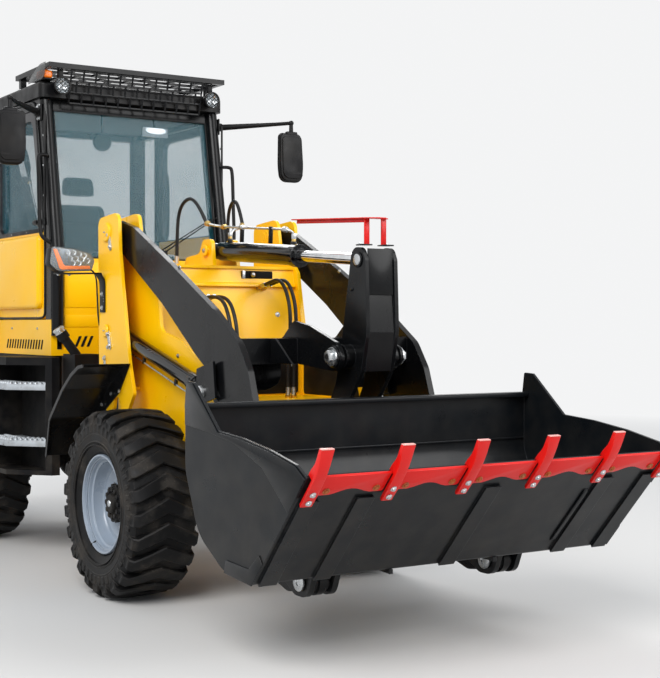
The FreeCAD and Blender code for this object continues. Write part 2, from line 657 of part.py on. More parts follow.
def stabiliser_frame():
    beam_half = leg_y - leg_half - leg_gap
    beam = box(-3300, -3148.3, -beam_half, beam_half, 700, 960)
    sleeves = []
    for sign in (1, -1):
        y = sign * leg_y
        hole = leg_half + leg_gap
        half = hole + leg_wall
        outer_box = box(leg_x - half, leg_x + half, y - half, y + half, 600, 1700)
        hole_box = box(leg_x - hole, leg_x + hole, y - hole, y + hole, 590, 1710)
        sleeves.append((outer_box, hole_box))
    mast = join(box(-3300, -3148.3, -320, -280, 960, 1240), box(-3300, -3148.3, 280, 320, 960, 1240))
    outline = [Vector(-3290, -170, 0), Vector(-3290, 170, 0), Vector(-3360, 170, 0), Vector(-3440, 70, 0),
               Vector(swing_x, 70, 0), Vector(swing_x, -70, 0), Vector(-3440, -70, 0), Vector(-3360, -170, 0)]
    lug = Part.Face(Part.makePolygon(outline + [outline[0]])).extrude(Vector(0, 0, 60))
    lug = join(lug, pin_z(swing_x, 0, 85, 0, 60))
    lugs = [moved(lug, z=640), moved(lug, z=940)]
    plates = join(box(-3300, -3270, -280, 280, 640, 1130), box(-3350, -3290, 150, 170, 700, 940),
                  box(-3350, -3290, -170, -150, 700, 940))
    pin = pin_z(swing_x, 0, 45, 625, 1015)
    for sign in (1, -1):
        eye = box(-3400, -3290, sign * 548, sign * 572, 712, 832)
        lugs.append(cut(eye, pin_y((-3355, 772), tie_hole, sign * 500, sign * 600)))
    frame = join(beam, mast, plates, pin, *lugs, *[outer for outer, _ in sleeves])
    nodes["stabiliser_frame"] = cut(frame, *[hole for _, hole in sleeves])


def legs():
    for sign, name in ((1, "left"), (-1, "right")):
        y = sign * leg_y
        leg = box(leg_x - leg_half, leg_x + leg_half, y - leg_half, y + leg_half, 296, 1690)
        foot = join(box(leg_x - 150, leg_x + 150, y - 130, y + 130, 280, 296),
                    box(leg_x - 80, leg_x + 80, y - 70, y + 70, 296, 360))
        leg = join(leg, foot)
        nodes["stabiliser_leg_" + name] = leg


# ---- cab ----------------------------------------------------------------------------------
def front_face(z):
    """x of the cab's front face at a height: upright to the waist, then leaning back."""
    if z <= cab_waist:
        return cab_front
    return cab_front - cab_lean * (z - cab_waist) / (cab_top - cab_waist)


def body_panels():
    """Yellow tub under the windows, and the engine side covers that hang below its floor."""
    sill = door_low - door_gap
    post_face = cab_half - post_wide
    floor = box(cab_rear, cab_front, -cab_half, cab_half, cab_floor, cab_floor + 40)
    side = box(cab_rear, cab_front, cab_half - cab_wall, cab_half, cab_floor, sill)
    front = box(cab_front - cab_wall, cab_front, -post_face, post_face, cab_floor, cab_waist)
    rear = box(cab_rear, cab_rear + cab_wall, -post_face, post_face, cab_floor, cab_waist)
    quarter = box(cab_rear + post_wide, quarter_front, cab_half - cab_wall, cab_half, sill - 1, cab_waist)
    tub = join(floor, side, mirrored(side), front, rear, quarter, mirrored(quarter))
    cover = box(-1900, -1640, cab_half - 61, cab_half - 25, 1010, cab_floor - seat_gap)
    nodes["body_panels"] = Part.makeCompound([tub, cover, mirrored(cover)])


def cab_frame():
    sill = door_low - door_gap
    top = front_face(cab_top)
    header_face = front_face(header_low)
    posts = []
    for sign in (1, -1):
        inner = sign * (cab_half - post_wide)
        outer = sign * cab_half
        posts.append(plate([(cab_front, sill), (cab_front, cab_waist), (top, cab_top), (top - 96, cab_top),
                            (cab_front - 96, cab_waist), (cab_front - 96, sill)], inner, outer))
        posts.append(box(cab_rear, cab_rear + post_wide, inner, outer, sill, cab_top))
        posts.append(box(quarter_front, door_rear - door_gap, sign * (cab_half - cab_wall), outer, sill, cab_top))
        posts.append(box(cab_rear, top, sign * (cab_half - 62), outer, door_high + door_gap, cab_top))
        for z in hinge_heights:
            y = sign * (cab_half + hinge_out)
            posts.append(box(door_rear - 60, door_rear - 4, outer, sign * (cab_half + 8), z + 1, z + 30))
            posts.append(pin_z(door_rear - 4, y, 10, z + 1, z + 34))
            posts.append(pin_z(door_rear - 4, y, 5, z - 30, z + 1))
    posts.append(plate([(header_face, header_low), (top, cab_top), (top - 96, cab_top),
                        (header_face - 60, header_low)], -cab_half, cab_half))
    posts.append(box(cab_rear, cab_rear + 60, -cab_half, cab_half, header_low, cab_top))
    nodes["cab_frame"] = join(*posts)


def cab_roof():
    ahead = front_face(cab_top) + 70
    slab = box(cab_rear - 40, ahead, -cab_half - 20, cab_half + 20, cab_top + 0.3, cab_top + roof_thick)
    rounded = slab.makeFillet(45, [e for e in slab.Edges if abs(e.tangentAt(e.FirstParameter).z) > 0.9])
    top_edges = [e for e in rounded.Edges if e.BoundBox.ZMin > cab_top + roof_thick - 0.1]
    nodes["cab_roof"] = rounded.makeFillet(28, top_edges)


def cab_glass():
    inset = 14.0
    low = cab_waist + seat_gap
    high = header_low - seat_gap
    half = cab_half - post_wide - seat_gap
    pane = plate([(front_face(low) - inset, low), (front_face(high) - inset, high),
                  (front_face(high) - inset - glass_thick, high),
                  (front_face(low) - inset - glass_thick, low)], -half, half)
    rear = box(cab_rear + inset, cab_rear + inset + glass_thick, -half, half, low, high)
    quarter = box(cab_rear + post_wide + seat_gap, quarter_front - seat_gap, cab_half - 30, cab_half - 24,
                  low, door_high + door_gap - seat_gap)
    nodes["cab_glass"] = Part.makeCompound([pane, rear, quarter, mirrored(quarter)])


def doors():
    behind = post_wide + 16
    leaf = plate([(door_front - 6, door_low, 60), (door_rear, door_low, 30), (door_rear, door_high, 50),
                  (front_face(door_high) - behind, door_high, 50), (front_face(cab_waist) - behind, cab_waist, 60),
                  (door_front - 6, cab_waist - 20, 30)], cab_half - cab_wall, cab_half)
    frame_wide = 62.0
    sash_low = cab_waist + 200
    sash_high = door_high - frame_wide

    def sash(gap, y0, y1):
        corner = 60 - gap
        return plate([(door_front - 70 - gap, sash_low + gap, corner),
                      (door_rear + frame_wide + gap, sash_low + gap, corner),
                      (door_rear + frame_wide + gap, sash_high - gap, corner),
                      (front_face(sash_high) - 170 - gap, sash_high - gap, corner)], y0, y1)

    pane = sash(seat_gap, cab_half - 26, cab_half - 20)
    leaf = cut(leaf, sash(0, cab_half - cab_wall - 1, cab_half + 1))
    hinges = []
    for z in hinge_heights:
        y = cab_half + hinge_out
        hinges.append(box(door_rear - 4, door_rear + 50, cab_half, cab_half + 8, z - 30, z - 1))
        knuckle = pin_z(door_rear - 4, y, 10, z - 34, z - 0.5)
        hinges.append(knuckle)
    leaf = join(leaf, *hinges)
    leaf = cut(leaf, *[pin_z(door_rear - 4, cab_half + hinge_out, 5 + pin_gap, z - 40, z) for z in hinge_heights])
    for sign, name in ((1, "left"), (-1, "right")):
        nodes["door_" + name] = leaf if sign > 0 else mirrored(leaf)
        nodes["door_glass_" + name] = pane if sign > 0 else mirrored(pane)


def roof_guard():
    front = -1495.0
    back = -2150.0
    half = guard_half
    rim = join(box(front - 34, front, -half, half, guard_top - 34, guard_top),
               box(back, back + 34, -half, half, guard_top - 34, guard_top),
               box(back, front, half - 34, half, guard_top - 34, guard_top),
               box(back, front, -half, -half + 34, guard_top - 34, guard_top))
    slats = []
    for row in range(1, 5):
        x = front - row * (front - back) / 5
        slats.append(box(x - 12, x + 12, -half + 10, half - 10, guard_top - 26, guard_top - 10))
    for row in range(5):
        x0 = front - row * (front - back) / 5
        x1 = x0 - (front - back) / 5
        count = 7
        for k in range(1, count):
            y = -half + k * 2 * half / count + (45 if row % 2 else -45)
            slats.append(box(x1, x0, y - 12, y + 12, guard_top - 26, guard_top - 10))
    feet = []
    for x in (-1700, -2100):
        for sign in (1, -1):
            inner, outer = sign * (guard_half - 55), sign * (guard_half - 15)
            feet.append(box(x - 20, x + 20, inner, outer, cab_top + roof_thick + 0.2, guard_top - 20))
    nodes["roof_guard"] = join(rim, *slats, *feet)


def roof_lights():
    lamps = []
    for sign in (1, -1):
        y = sign * (guard_half - 95)
        lamp = join(pin_x(y, 3130, 58, -1572, -1500), box(-1570, -1520, y - 10, y + 10, 3130, guard_top - 34.3))
        lamps.append(lamp)
    nodes["roof_lights"] = Part.makeCompound(lamps)


def mirrors():
    arm = join(bar(Vector(-1640, cab_half + 10, 2960), Vector(-1300, 980, 2965), 11),
               bar(Vector(-1300, 980, 2965), Vector(-1225, 1030, 2900), 11),
               bar(Vector(-1225, 1030, 2900), Vector(-1215, 1030, 2560), 10),
               box(-1680, -1600, cab_half + 0.3, cab_half + 12, 2920, 3000))
    glass = box(-1215, -1165, 925, 1130, 2540, 2900)
    glass = glass.makeFillet(22, [e for e in glass.Edges if abs(e.tangentAt(e.FirstParameter).x) > 0.9])
    nodes["mirrors"] = pair(join(arm, glass))


def seat():
    cushion = box(-2600, -2100, -250, 250, 1760, 1880)
    back = plate([(-2600, 1880), (-2490, 1880), (-2560, 2460, 50), (-2660, 2460, 50), (-2700, 1900, 30)],
                 -250, 250)
    head = plate([(-2660, 2500, 30), (-2570, 2500, 30), (-2590, 2660, 40), (-2680, 2660, 40)], -130, 130)
    posts = join(bar(Vector(-2610, 70, 2450), Vector(-2620, 70, 2510), 7),
                 bar(Vector(-2610, -70, 2450), Vector(-2620, -70, 2510), 7))
    nodes["seat"] = join(cushion, back, head, posts)


def steering_wheel():
    ring_radius = 185
    hub = Vector(-1865, 0, 2150)
    parts = [Part.makeTorus(ring_radius, 14)]
    for angle in (90, 210, 330):
        out = Vector(math.cos(math.radians(angle)), math.sin(math.radians(angle)), 0)
        parts.append(bar(Vector(0, 0, 0), out * ring_radius, 9))
    for part in parts:
        part.rotate(Vector(0, 0, 0), Vector(0, 1, 0), -32)
        part.translate(hub)
    return parts


def cab_controls():
    pedestal = box(-1720, -1600, -90, 90, 1370.3, 1900)
    column = join(pedestal, bar(Vector(-1680, 0, 1880), Vector(-1868, 0, 2156), 28))
    front = join(column, *steering_wheel())
    console = box(-2890, -2760, -300, 300, 1370.3, 1900)
    levers = []
    for y in (-200, -70, 70, 200):
        levers.append(bar(Vector(-2810, y, 1890), Vector(-2790, y, 2120), 9))
        levers.append(Part.makeSphere(24, Vector(-2790, y, 2130)))
    lever_y = 45 - console_out
    side = join(box(-2500, -2150, -console_out, 90 - console_out, 1370.3, 1980),
                bar(Vector(-2220, lever_y, 1970), Vector(-2200, lever_y, 2110), 9),
                Part.makeSphere(24, Vector(-2200, lever_y, 2120)))
    seat_base = box(-2560, -2160, -180, 180, 1370.3, 1759.7)
    nodes["cab_controls"] = Part.makeCompound([front, join(console, *levers), side, seat_base])


# ---- backhoe ------------------------------------------------------------------------------
def swing_post():
    boss_half = boom_half + 15
    pin_half = boom_half + side_gap + 34
    boss = pin_z(swing_x, 0, boss_half, 706, 934)
    block = join(boss, box(-3678, swing_x, -boss_half, boss_half, 712, 928))
    cheek = plate([(-3600, 712, 20), (-3760, 705, 20), (-3860, 740, 60), (-3870, 850, 60), (-3740, 950, 60),
                   (-3690, 1090, 60), (-3668, 1168, 50), (-3562, 1168, 50), (-3562, 1050, 40), (-3606, 1012, 30),
                   (-3606, 900, 40)],
                  boom_half + side_gap, boom_half + side_gap + 26)
    bridge = box(-3678, -3640, -boom_half - 20, boom_half + 20, 715, 925)
    post = join(block, bridge, cheek, mirrored(cheek), pin_y(foot_pin, 38, -pin_half, pin_half),
                pin_y(boom_ram_base, 26, -pin_half, pin_half))
    nodes["swing_post"] = cut(post, pin_z(swing_x, 0, 45 + pin_gap, 700, 940))


def boom():
    outline = [(-3850, 760, 70), (-3722, 745, 60), (-3690, 1000, 200), (-3664, 1400, 500), (-3652, 1900, 500),
               (-3668, 2180, 300), (-3810, 2560, 300), (-3985, 2960, 60), (-4050, 3030, 60), (-4125, 2950, 60),
               (-4080, 2830, 80), (-3960, 2500, 300), (-3860, 2100, 400), (-3850, 1300, 500)]
    core = plate(outline, -boom_half, boom_half)
    fork = plate([(-3900, 2690), (-3700, 2760), (-3880, 3300), (-4250, 3300), (-4250, 2700), (-4060, 2640)],
                 -stick_half - side_gap, stick_half + side_gap)
    hollow = plate([(-3820, 950, 20), (-3720, 950, 20), (-3690, 1400, 60), (-3680, 1900, 200),
                    (-3700, 2180, 100), (-3830, 2480, 30), (-3900, 2480, 30), (-3840, 2100, 300),
                    (-3828, 1300, 300)], -boom_half + 14, boom_half - 14)
    low_ear = plate([(-3680, 1720), (-3560, 1800, 60), (-3480, 1860, 50), (-3500, 1935, 50), (-3600, 1990, 60),
                     (-3680, 2040)], 62, 82)
    high_ear = plate([(-3690, 2020), (-3520, 2120, 60), (-3405, 2170, 50), (-3425, 2260, 50), (-3600, 2320, 60),
                      (-3740, 2340)], 52, 72)
    stubs = []
    for sign in (1, -1):
        stubs.append(pin_y(boom_ram_eye, 26, sign * 30, sign * 88))
    whole = cut(core, fork, hollow)
    whole = join(whole, low_ear, mirrored(low_ear), high_ear, mirrored(high_ear), *stubs,
                 pin_y(stick_ram_base, 26, -82, 82), pin_y(boom_tip, 32, -108, 108))
    nodes["boom"] = cut(whole, pin_y(foot_pin, 38 + pin_gap, -boom_half - 10, boom_half + 10))


def stick():
    def side_points(rows):
        return [beside(stick_pin, boom_tip, row[0], row[1]) + tuple(row[2:]) for row in rows]

    core = plate(side_points([(-62, -38, 40), (260, -64, 100), (900, -100, 200), (1340, -106, 80),
                              (1500, -92, 60), (1640, 10, 60), (1770, 66, 40), (1770, 140, 40), (1690, 156, 40),
                              (1560, 130, 80), (1420, 112, 60), (1260, 76, 40), (1190, 10, 20), (1060, 8, 40),
                              (760, 50, 150), (300, 70, 100), (-62, 38, 40)]), -stick_half, stick_half)
    lever_slot = plate(side_points([(1490, -140), (1820, -140), (1820, 220), (1535, 220), (1535, 60),
                                    (1500, -60)]), -34, 34)
    hollow = plate(side_points([(360, 40, 20), (360, -40, 20), (900, -76, 60), (1100, -76, 20), (1080, -16, 20),
                                (760, 26, 60)]), -stick_half + 12, stick_half - 12)
    ear = plate(side_points([(1020, 0), (1060, 80, 20), (1100, 108, 30), (1150, 108, 30), (1190, 70, 20),
                             (1220, 0)]), 40, 56)
    stubs = []
    for sign in (1, -1):
        stubs.append(pin_y(stick_lever, 24, sign * 27, sign * stick_half))
    whole = cut(core, lever_slot, hollow)
    whole = join(whole, ear, mirrored(ear), pin_y(hoe_ram_base, 22, -62, 62), *stubs,
                 pin_y(idler_pin, 22, -92, 92))
    nodes["stick"] = cut(whole, pin_y(boom_tip, 32 + pin_gap, -70, 70), pin_y(stick_pin, 26 + pin_gap, -70, 70))


def hoe_bucket():
    half = hoe_bucket_half
    skin_out = [(-4330, 1325, 20), (-4640, 1295, 60), (-4735, 1160, 120), (-4715, 940, 140), (-4520, 810, 160),
                (-4260, 795, 160), (-4055, 920, 60), (-3955, 1125)]
    skin_in = [(-3969, 1132), (-4067, 932, 50), (-4265, 810, 146), (-4514, 825, 146), (-4700, 947, 126),
               (-4719, 1154, 106), (-4631, 1281, 46), (-4330, 1310, 10)]
    skin = plate(skin_out + skin_in, -half, half)
    cheek = plate(skin_out + [(-4240, 1220, 60)], half - 12, half)
    ear = plate([(-4640, 1285), (-4655, 1400, 50), (-4605, 1455, 50), (-4570, 1560, 60), (-4530, 1622, 60),
                 (-4445, 1622, 60), (-4420, 1500, 60), (-4360, 1315)], stick_half + side_gap,
                stick_half + side_gap + 20)
    teeth = []
    for k in range(4):
        y = -half + 32 + k * (2 * half - 64) / 3
        teeth.append(plate([(-4005, 995, 8), (-3970, 1005, 8), (-3900, 1230, 6), (-3985, 1145, 8),
                            (-4035, 1055, 8)], y - 22, y + 22))
    hinge = pin_y(stick_pin, 26, -stick_half - side_gap - 24, stick_half + side_gap + 24)
    coupler = pin_y(coupler_pin, 22, -stick_half - side_gap - 22, stick_half + side_gap + 22)
    nodes["hoe_bucket"] = join(skin, cheek, mirrored(cheek), ear, mirrored(ear), hinge, coupler, *teeth)


def hoe_links():
    low = stick_half + side_gap
    idler = hull_plate(idler_pin, 36, idler_eye, 34, low + 2, low + 16)
    idler = cut(idler, pin_y(idler_pin, 22 + pin_gap, 0, 120))
    stub = pin_y(idler_eye, 20, low - 8, low + 20)
    idler = join(idler, stub)
    nodes["idler_links"] = pair(idler)
    coupler = hull_plate(coupler_pin, 36, idler_eye, 34, 30, 54)
    bridge = box(-4628, -4586, -32, 32, 1520, 1600)
    coupler = join(coupler, mirrored(coupler), bridge)
    nodes["coupler_link"] = cut(coupler, pin_y(coupler_pin, 22 + pin_gap, -60, 60),
                                pin_y(idler_eye, 20 + pin_gap, -60, 60))


def hoe_rams():
    barrel, rod = ram(boom_ram_base, boom_ram_eye, 48, 28, 690, 610, 80, 26, 26, 26)
    nodes["boom_ram_barrel"] = barrel
    nodes["boom_ram_rod"] = rod
    barrel, rod = ram(stick_ram_base, stick_lever, 44, 25, 620, 85, 46, 24, 26, 24)
    nodes["stick_ram_barrel"] = barrel
    nodes["stick_ram_rod"] = rod
    barrel, rod = ram(hoe_ram_base, idler_eye, 38, 22, 620, 120, 36, 24, 22, 20)
    nodes["hoe_ram_barrel"] = barrel
    nodes["hoe_ram_rod"] = rod


def build():
    for name, x, side in (("front_left", 0, 1), ("front_right", 0, -1),
                          ("rear_left", -wheelbase, 1), ("rear_right", -wheelbase, -1)):
        wheel(name, x, side)
    axle("front_axle", 0)
    axle("rear_axle", -wheelbase)
    for make in (front_chassis, front_fenders, headlights, hydraulic_hoses, loader_arms, rocker, bucket_link,
                 bucket_shell, bucket_edge, loader_rams, rear_chassis, steering_rams, rear_fenders,
                 body_panels, step_boxes, tank, engine, stabiliser_frame, legs, cab_frame, cab_roof,
                 cab_glass, doors, roof_guard, roof_lights, mirrors, seat, cab_controls, swing_post, boom,
                 stick, hoe_bucket, hoe_links, hoe_rams):
        make()


build()
whole_box = Part.makeCompound(list(nodes.values())).BoundBox
shift = Vector(-(whole_box.XMin + whole_box.XMax) / 2, -(whole_box.YMin + whole_box.YMax) / 2, -whole_box.ZMin)
for node, shape in nodes.items():
    placed = shape.copy()
    placed.translate(shift)
    placed.exportStep("parts/" + node + ".step")
print("nodes", len(nodes), "shift", round(shift.x, 3), round(shift.y, 3), round(shift.z, 3))
print("size", round(whole_box.XLength, 1), round(whole_box.YLength, 1), round(whole_box.ZLength, 1))
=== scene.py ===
import math

import bmesh
import bpy
from mathutils import Matrix, Vector


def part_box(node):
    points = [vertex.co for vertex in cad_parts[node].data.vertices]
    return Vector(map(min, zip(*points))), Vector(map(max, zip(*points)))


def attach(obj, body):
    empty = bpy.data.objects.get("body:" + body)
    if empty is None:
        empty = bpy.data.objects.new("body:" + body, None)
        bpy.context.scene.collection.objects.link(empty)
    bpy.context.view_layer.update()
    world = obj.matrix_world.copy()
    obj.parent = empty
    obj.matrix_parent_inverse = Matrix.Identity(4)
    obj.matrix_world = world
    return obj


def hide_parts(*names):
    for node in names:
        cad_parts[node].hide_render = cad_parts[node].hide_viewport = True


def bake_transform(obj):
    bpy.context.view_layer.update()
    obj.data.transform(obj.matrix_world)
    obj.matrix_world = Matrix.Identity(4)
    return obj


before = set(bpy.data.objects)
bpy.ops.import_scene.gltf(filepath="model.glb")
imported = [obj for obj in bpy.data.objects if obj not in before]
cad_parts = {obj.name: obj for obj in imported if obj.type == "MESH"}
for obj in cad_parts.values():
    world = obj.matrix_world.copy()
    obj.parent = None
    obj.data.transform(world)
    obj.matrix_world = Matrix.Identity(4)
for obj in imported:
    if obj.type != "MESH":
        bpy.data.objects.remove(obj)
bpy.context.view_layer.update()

# positions below are in metres from the ground under the middle of the front axle
tyreLow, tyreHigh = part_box("tyre_front_left")
axleX = (tyreLow.x + tyreHigh.x) / 2
scene = bpy.context.scene

# camera, floor and light
shot = {"place": (7.140, -3.948, 1.549), "ahead": (-0.8436, 0.5370), "down": 0.685, "lens": 72.4}
studio = {"floor": 40.0, "fadeFrom": 6.5, "fadeTo": 15.0, "pale": (0.90, 0.905, 0.91, 1), "world": 0.62,
          "sky": (0.82, 0.90, 1.0, 1), "ground": (0.60, 0.585, 0.565, 1), "groundRough": 0.8}
lamps = (
    ("keyLamp", (7.0, -7.5, 9.0), 8.0, 1350),
    ("fillLamp", (9.0, 5.0, 6.0), 7.0, 520),
    ("backLamp", (-8.0, 4.0, 8.0), 7.0, 620),
)


def addCamera():
    data = bpy.data.cameras.new("mainCamera")
    data.lens = shot["lens"]
    data.clip_end = 200
    camera = bpy.data.objects.new("mainCamera", data)
    scene.collection.objects.link(camera)
    x, y, z = shot["place"]
    camera.location = (x + axleX, y, z)
    down = math.radians(shot["down"])
    ahead = Vector((shot["ahead"][0] * math.cos(down), shot["ahead"][1] * math.cos(down), -math.sin(down)))
    camera.rotation_mode = "QUATERNION"
    camera.rotation_quaternion = ahead.to_track_quat("-Z", "Y")
    scene.camera = camera


def addLamps():
    middle = Vector((0, 0, 1.2))
    for name, place, size, power in lamps:
        data = bpy.data.lights.new(name, "AREA")
        data.shape = "DISK"
        data.size = size
        data.energy = power
        lamp = bpy.data.objects.new(name, data)
        lamp.location = place
        lamp.rotation_mode = "QUATERNION"
        lamp.rotation_quaternion = (middle - Vector(place)).to_track_quat("-Z", "Y")
        scene.collection.objects.link(lamp)


# one for a ray that the eye, a mirror or a pane looks along
def seenRays(tree):
    rays = tree.nodes.new("ShaderNodeLightPath")
    share = rays.outputs["Is Camera Ray"]
    for kind in ("Is Transmission Ray", "Is Glossy Ray"):
        either = tree.nodes.new("ShaderNodeMath")
        either.operation = "MAXIMUM"
        tree.links.new(share, either.inputs[0])
        tree.links.new(rays.outputs[kind], either.inputs[1])
        share = either.outputs[0]
    return share


def addWorld():
    world = bpy.data.worlds.new("paleWorld")
    scene.world = world
    world.use_nodes = True
    nodes, links = world.node_tree.nodes, world.node_tree.links
    room = nodes["Background"]
    room.inputs["Color"].default_value = studio["sky"]
    room.inputs["Strength"].default_value = studio["world"]
    seen = nodes.new("ShaderNodeBackground")
    seen.inputs["Color"].default_value = studio["pale"]
    pick = nodes.new("ShaderNodeMixShader")
    links.new(seenRays(world.node_tree), pick.inputs[0])
    links.new(room.outputs[0], pick.inputs[1])
    links.new(seen.outputs[0], pick.inputs[2])
    links.new(pick.outputs[0], nodes["World Output"].inputs[0])


# the floor fades into the backdrop's colour away from the machine
def addFloor():
    part = bmesh.new()
    bmesh.ops.create_grid(part, x_segments=8, y_segments=8, size=studio["floor"])
    mesh = bpy.data.meshes.new("floor")
    part.to_mesh(mesh)
    part.free()
    floor = bpy.data.objects.new("floor", mesh)
    scene.collection.objects.link(floor)
    finish = bpy.data.materials.new("floorPale")
    finish.use_nodes = True
    nodes, links = finish.node_tree.nodes, finish.node_tree.links
    shader = nodes["Principled BSDF"]
    shader.inputs["Base Color"].default_value = studio["ground"]
    shader.inputs["Roughness"].default_value = studio["groundRough"]
    coords = nodes.new("ShaderNodeTexCoord")
    reach = nodes.new("ShaderNodeVectorMath")
    reach.operation = "LENGTH"
    links.new(coords.outputs["Object"], reach.inputs[0])
    fade = nodes.new("ShaderNodeMapRange")
    fade.inputs["From Min"].default_value = studio["fadeFrom"]
    fade.inputs["From Max"].default_value = studio["fadeTo"]
    links.new(reach.outputs["Value"], fade.inputs["Value"])
    both = nodes.new("ShaderNodeMath")
    both.operation = "MULTIPLY"
    links.new(fade.outputs[0], both.inputs[0])
    links.new(seenRays(finish.node_tree), both.inputs[1])
    glow = nodes.new("ShaderNodeEmission")
    glow.inputs["Color"].default_value = studio["pale"]
    pick = nodes.new("ShaderNodeMixShader")
    links.new(both.outputs[0], pick.inputs[0])
    links.new(shader.outputs[0], pick.inputs[1])
    links.new(glow.outputs[0], pick.inputs[2])
    links.new(pick.outputs[0], nodes["Material Output"].inputs[0])
    mesh.materials.append(finish)


scene.view_settings.view_transform = "Standard"
addCamera()
addLamps()
addWorld()
addFloor()
print("camera, lamps and floor placed")


# finishes
dustTints = {"paint": "8f8474", "plastic": "857c6e", "metal": "6d6a64", "tyre": "6e675f", "pane": "9fc4c8"}


# a screen colour such as ffc400 as the linear colour a shader takes
def tint(text):
    parts = [int(text[i:i + 2], 16) / 255 for i in (0, 2, 4)]
    return tuple(c / 12.92 if c <= 0.04045 else ((c + 0.055) / 1.055) ** 2.4 for c in parts) + (1.0,)


def newFinish(name, colour, roughness, metallic=0.0):
    finish = bpy.data.materials.new(name)
    finish.use_nodes = True
    shader = finish.node_tree.nodes["Principled BSDF"]
    shader.inputs["Base Color"].default_value = tint(colour)
    shader.inputs["Roughness"].default_value = roughness
    shader.inputs["Metallic"].default_value = metallic
    return finish, finish.node_tree, shader


def objectPlace(tree, stretch=(1, 1, 1), turn=(0, 0, 0)):
    coords = tree.nodes.new("ShaderNodeTexCoord")
    mapping = tree.nodes.new("ShaderNodeMapping")
    mapping.inputs["Scale"].default_value = stretch
    mapping.inputs["Rotation"].default_value = turn
    tree.links.new(coords.outputs["Object"], mapping.inputs["Vector"])
    return mapping.outputs[0]


def noiseOf(tree, scale, detail=3.0, place=None):
    noise = tree.nodes.new("ShaderNodeTexNoise")
    noise.inputs["Scale"].default_value = scale
    noise.inputs["Detail"].default_value = detail
    tree.links.new(place or objectPlace(tree), noise.inputs["Vector"])
    return noise.outputs["Fac"]


def ranged(tree, value, fromLow, fromHigh, toLow, toHigh):
    node = tree.nodes.new("ShaderNodeMapRange")
    for name, number in (("From Min", fromLow), ("From Max", fromHigh), ("To Min", toLow),
                         ("To Max", toHigh)):
        node.inputs[name].default_value = number
    tree.links.new(value, node.inputs["Value"])
    return node.outputs[0]


def mathOf(tree, operation, first, second):
    node = tree.nodes.new("ShaderNodeMath")
    node.operation = operation
    for socket, value in zip(node.inputs, (first, second)):
        if isinstance(value, (int, float)):
            socket.default_value = value
        else:
            tree.links.new(value, socket)
    return node.outputs[0]


def mixed(tree, share, first, second):
    node = tree.nodes.new("ShaderNodeMix")
    node.data_type = "RGBA"
    tree.links.new(share, node.inputs[0])
    for socket, value in ((node.inputs[6], first), (node.inputs[7], second)):
        if isinstance(value, tuple):
            socket.default_value = value
        else:
            tree.links.new(value, socket)
    return node.outputs[2]


def bumped(tree, shader, height, strength, distance, before=None):
    node = tree.nodes.new("ShaderNodeBump")
    node.inputs["Strength"].default_value = strength
    node.inputs["Distance"].default_value = distance
    tree.links.new(height, node.inputs["Height"])
    if before is not None:
        tree.links.new(before, node.inputs["Normal"])
    tree.links.new(node.outputs[0], shader.inputs["Normal"])


# share of a rounded edge at each point, and the rounded normal
def edgeOf(tree, width):
    bevel = tree.nodes.new("ShaderNodeBevel")
    bevel.samples = 4
    bevel.inputs["Radius"].default_value = width
    geometry = tree.nodes.new("ShaderNodeNewGeometry")
    dot = tree.nodes.new("ShaderNodeVectorMath")
    dot.operation = "DOT_PRODUCT"
    tree.links.new(bevel.outputs[0], dot.inputs[0])
    tree.links.new(geometry.outputs["Normal"], dot.inputs[1])
    return ranged(tree, dot.outputs["Value"], 0.995, 0.80, 0.0, 1.0), bevel.outputs[0]


def heightOf(tree):
    split = tree.nodes.new("ShaderNodeSeparateXYZ")
    tree.links.new(objectPlace(tree), split.inputs[0])
    return split.outputs["Z"]


# sprayed paint: cloudy shade, paler edges (worn paint and painted highlight), dust low down, orange peel
def paintFinish(name, colour, shade, edge, roughness=0.36, coat=0.3, dust=0.16, edgeWearAndHighlight=0.35, peel=0.10,
                gloss=0.5):
    finish, tree, shader = newFinish(name, colour, roughness)
    shader.inputs["Specular IOR Level"].default_value = gloss
    shader.inputs["Coat Weight"].default_value = coat
    shader.inputs["Coat Roughness"].default_value = 0.12
    cloud = ranged(tree, noiseOf(tree, 1.6, 4), 0.35, 0.7, 0.0, 0.55)
    base = mixed(tree, cloud, tint(colour), tint(shade))
    rounded, normal = edgeOf(tree, 0.004)
    # paler edges: partly worn paint, partly a painted highlight where the edges catch the light
    wornAndHighlitEdge = mathOf(tree, "MULTIPLY", rounded, ranged(tree, noiseOf(tree, 34, 3), 0.35, 0.65, edgeWearAndHighlight * 0.4, edgeWearAndHighlight))
    base = mixed(tree, wornAndHighlitEdge, base, tint(edge))
    low = ranged(tree, heightOf(tree), 0.15, 1.35, dust, dust * 0.12)
    grime = mathOf(tree, "MULTIPLY", low, ranged(tree, noiseOf(tree, 9, 6), 0.38, 0.72, 0.0, 1.0))
    base = mixed(tree, grime, base, tint(dustTints["paint"]))
    tree.links.new(base, shader.inputs["Base Color"])
    rough = mathOf(tree, "ADD", ranged(tree, noiseOf(tree, 5.5, 5), 0.3, 0.7, roughness - 0.06,
                                       roughness + 0.09), mathOf(tree, "MULTIPLY", grime, 0.5))
    tree.links.new(rough, shader.inputs["Roughness"])
    bumped(tree, shader, noiseOf(tree, 260, 2), peel, 0.0008, normal)
    return finish


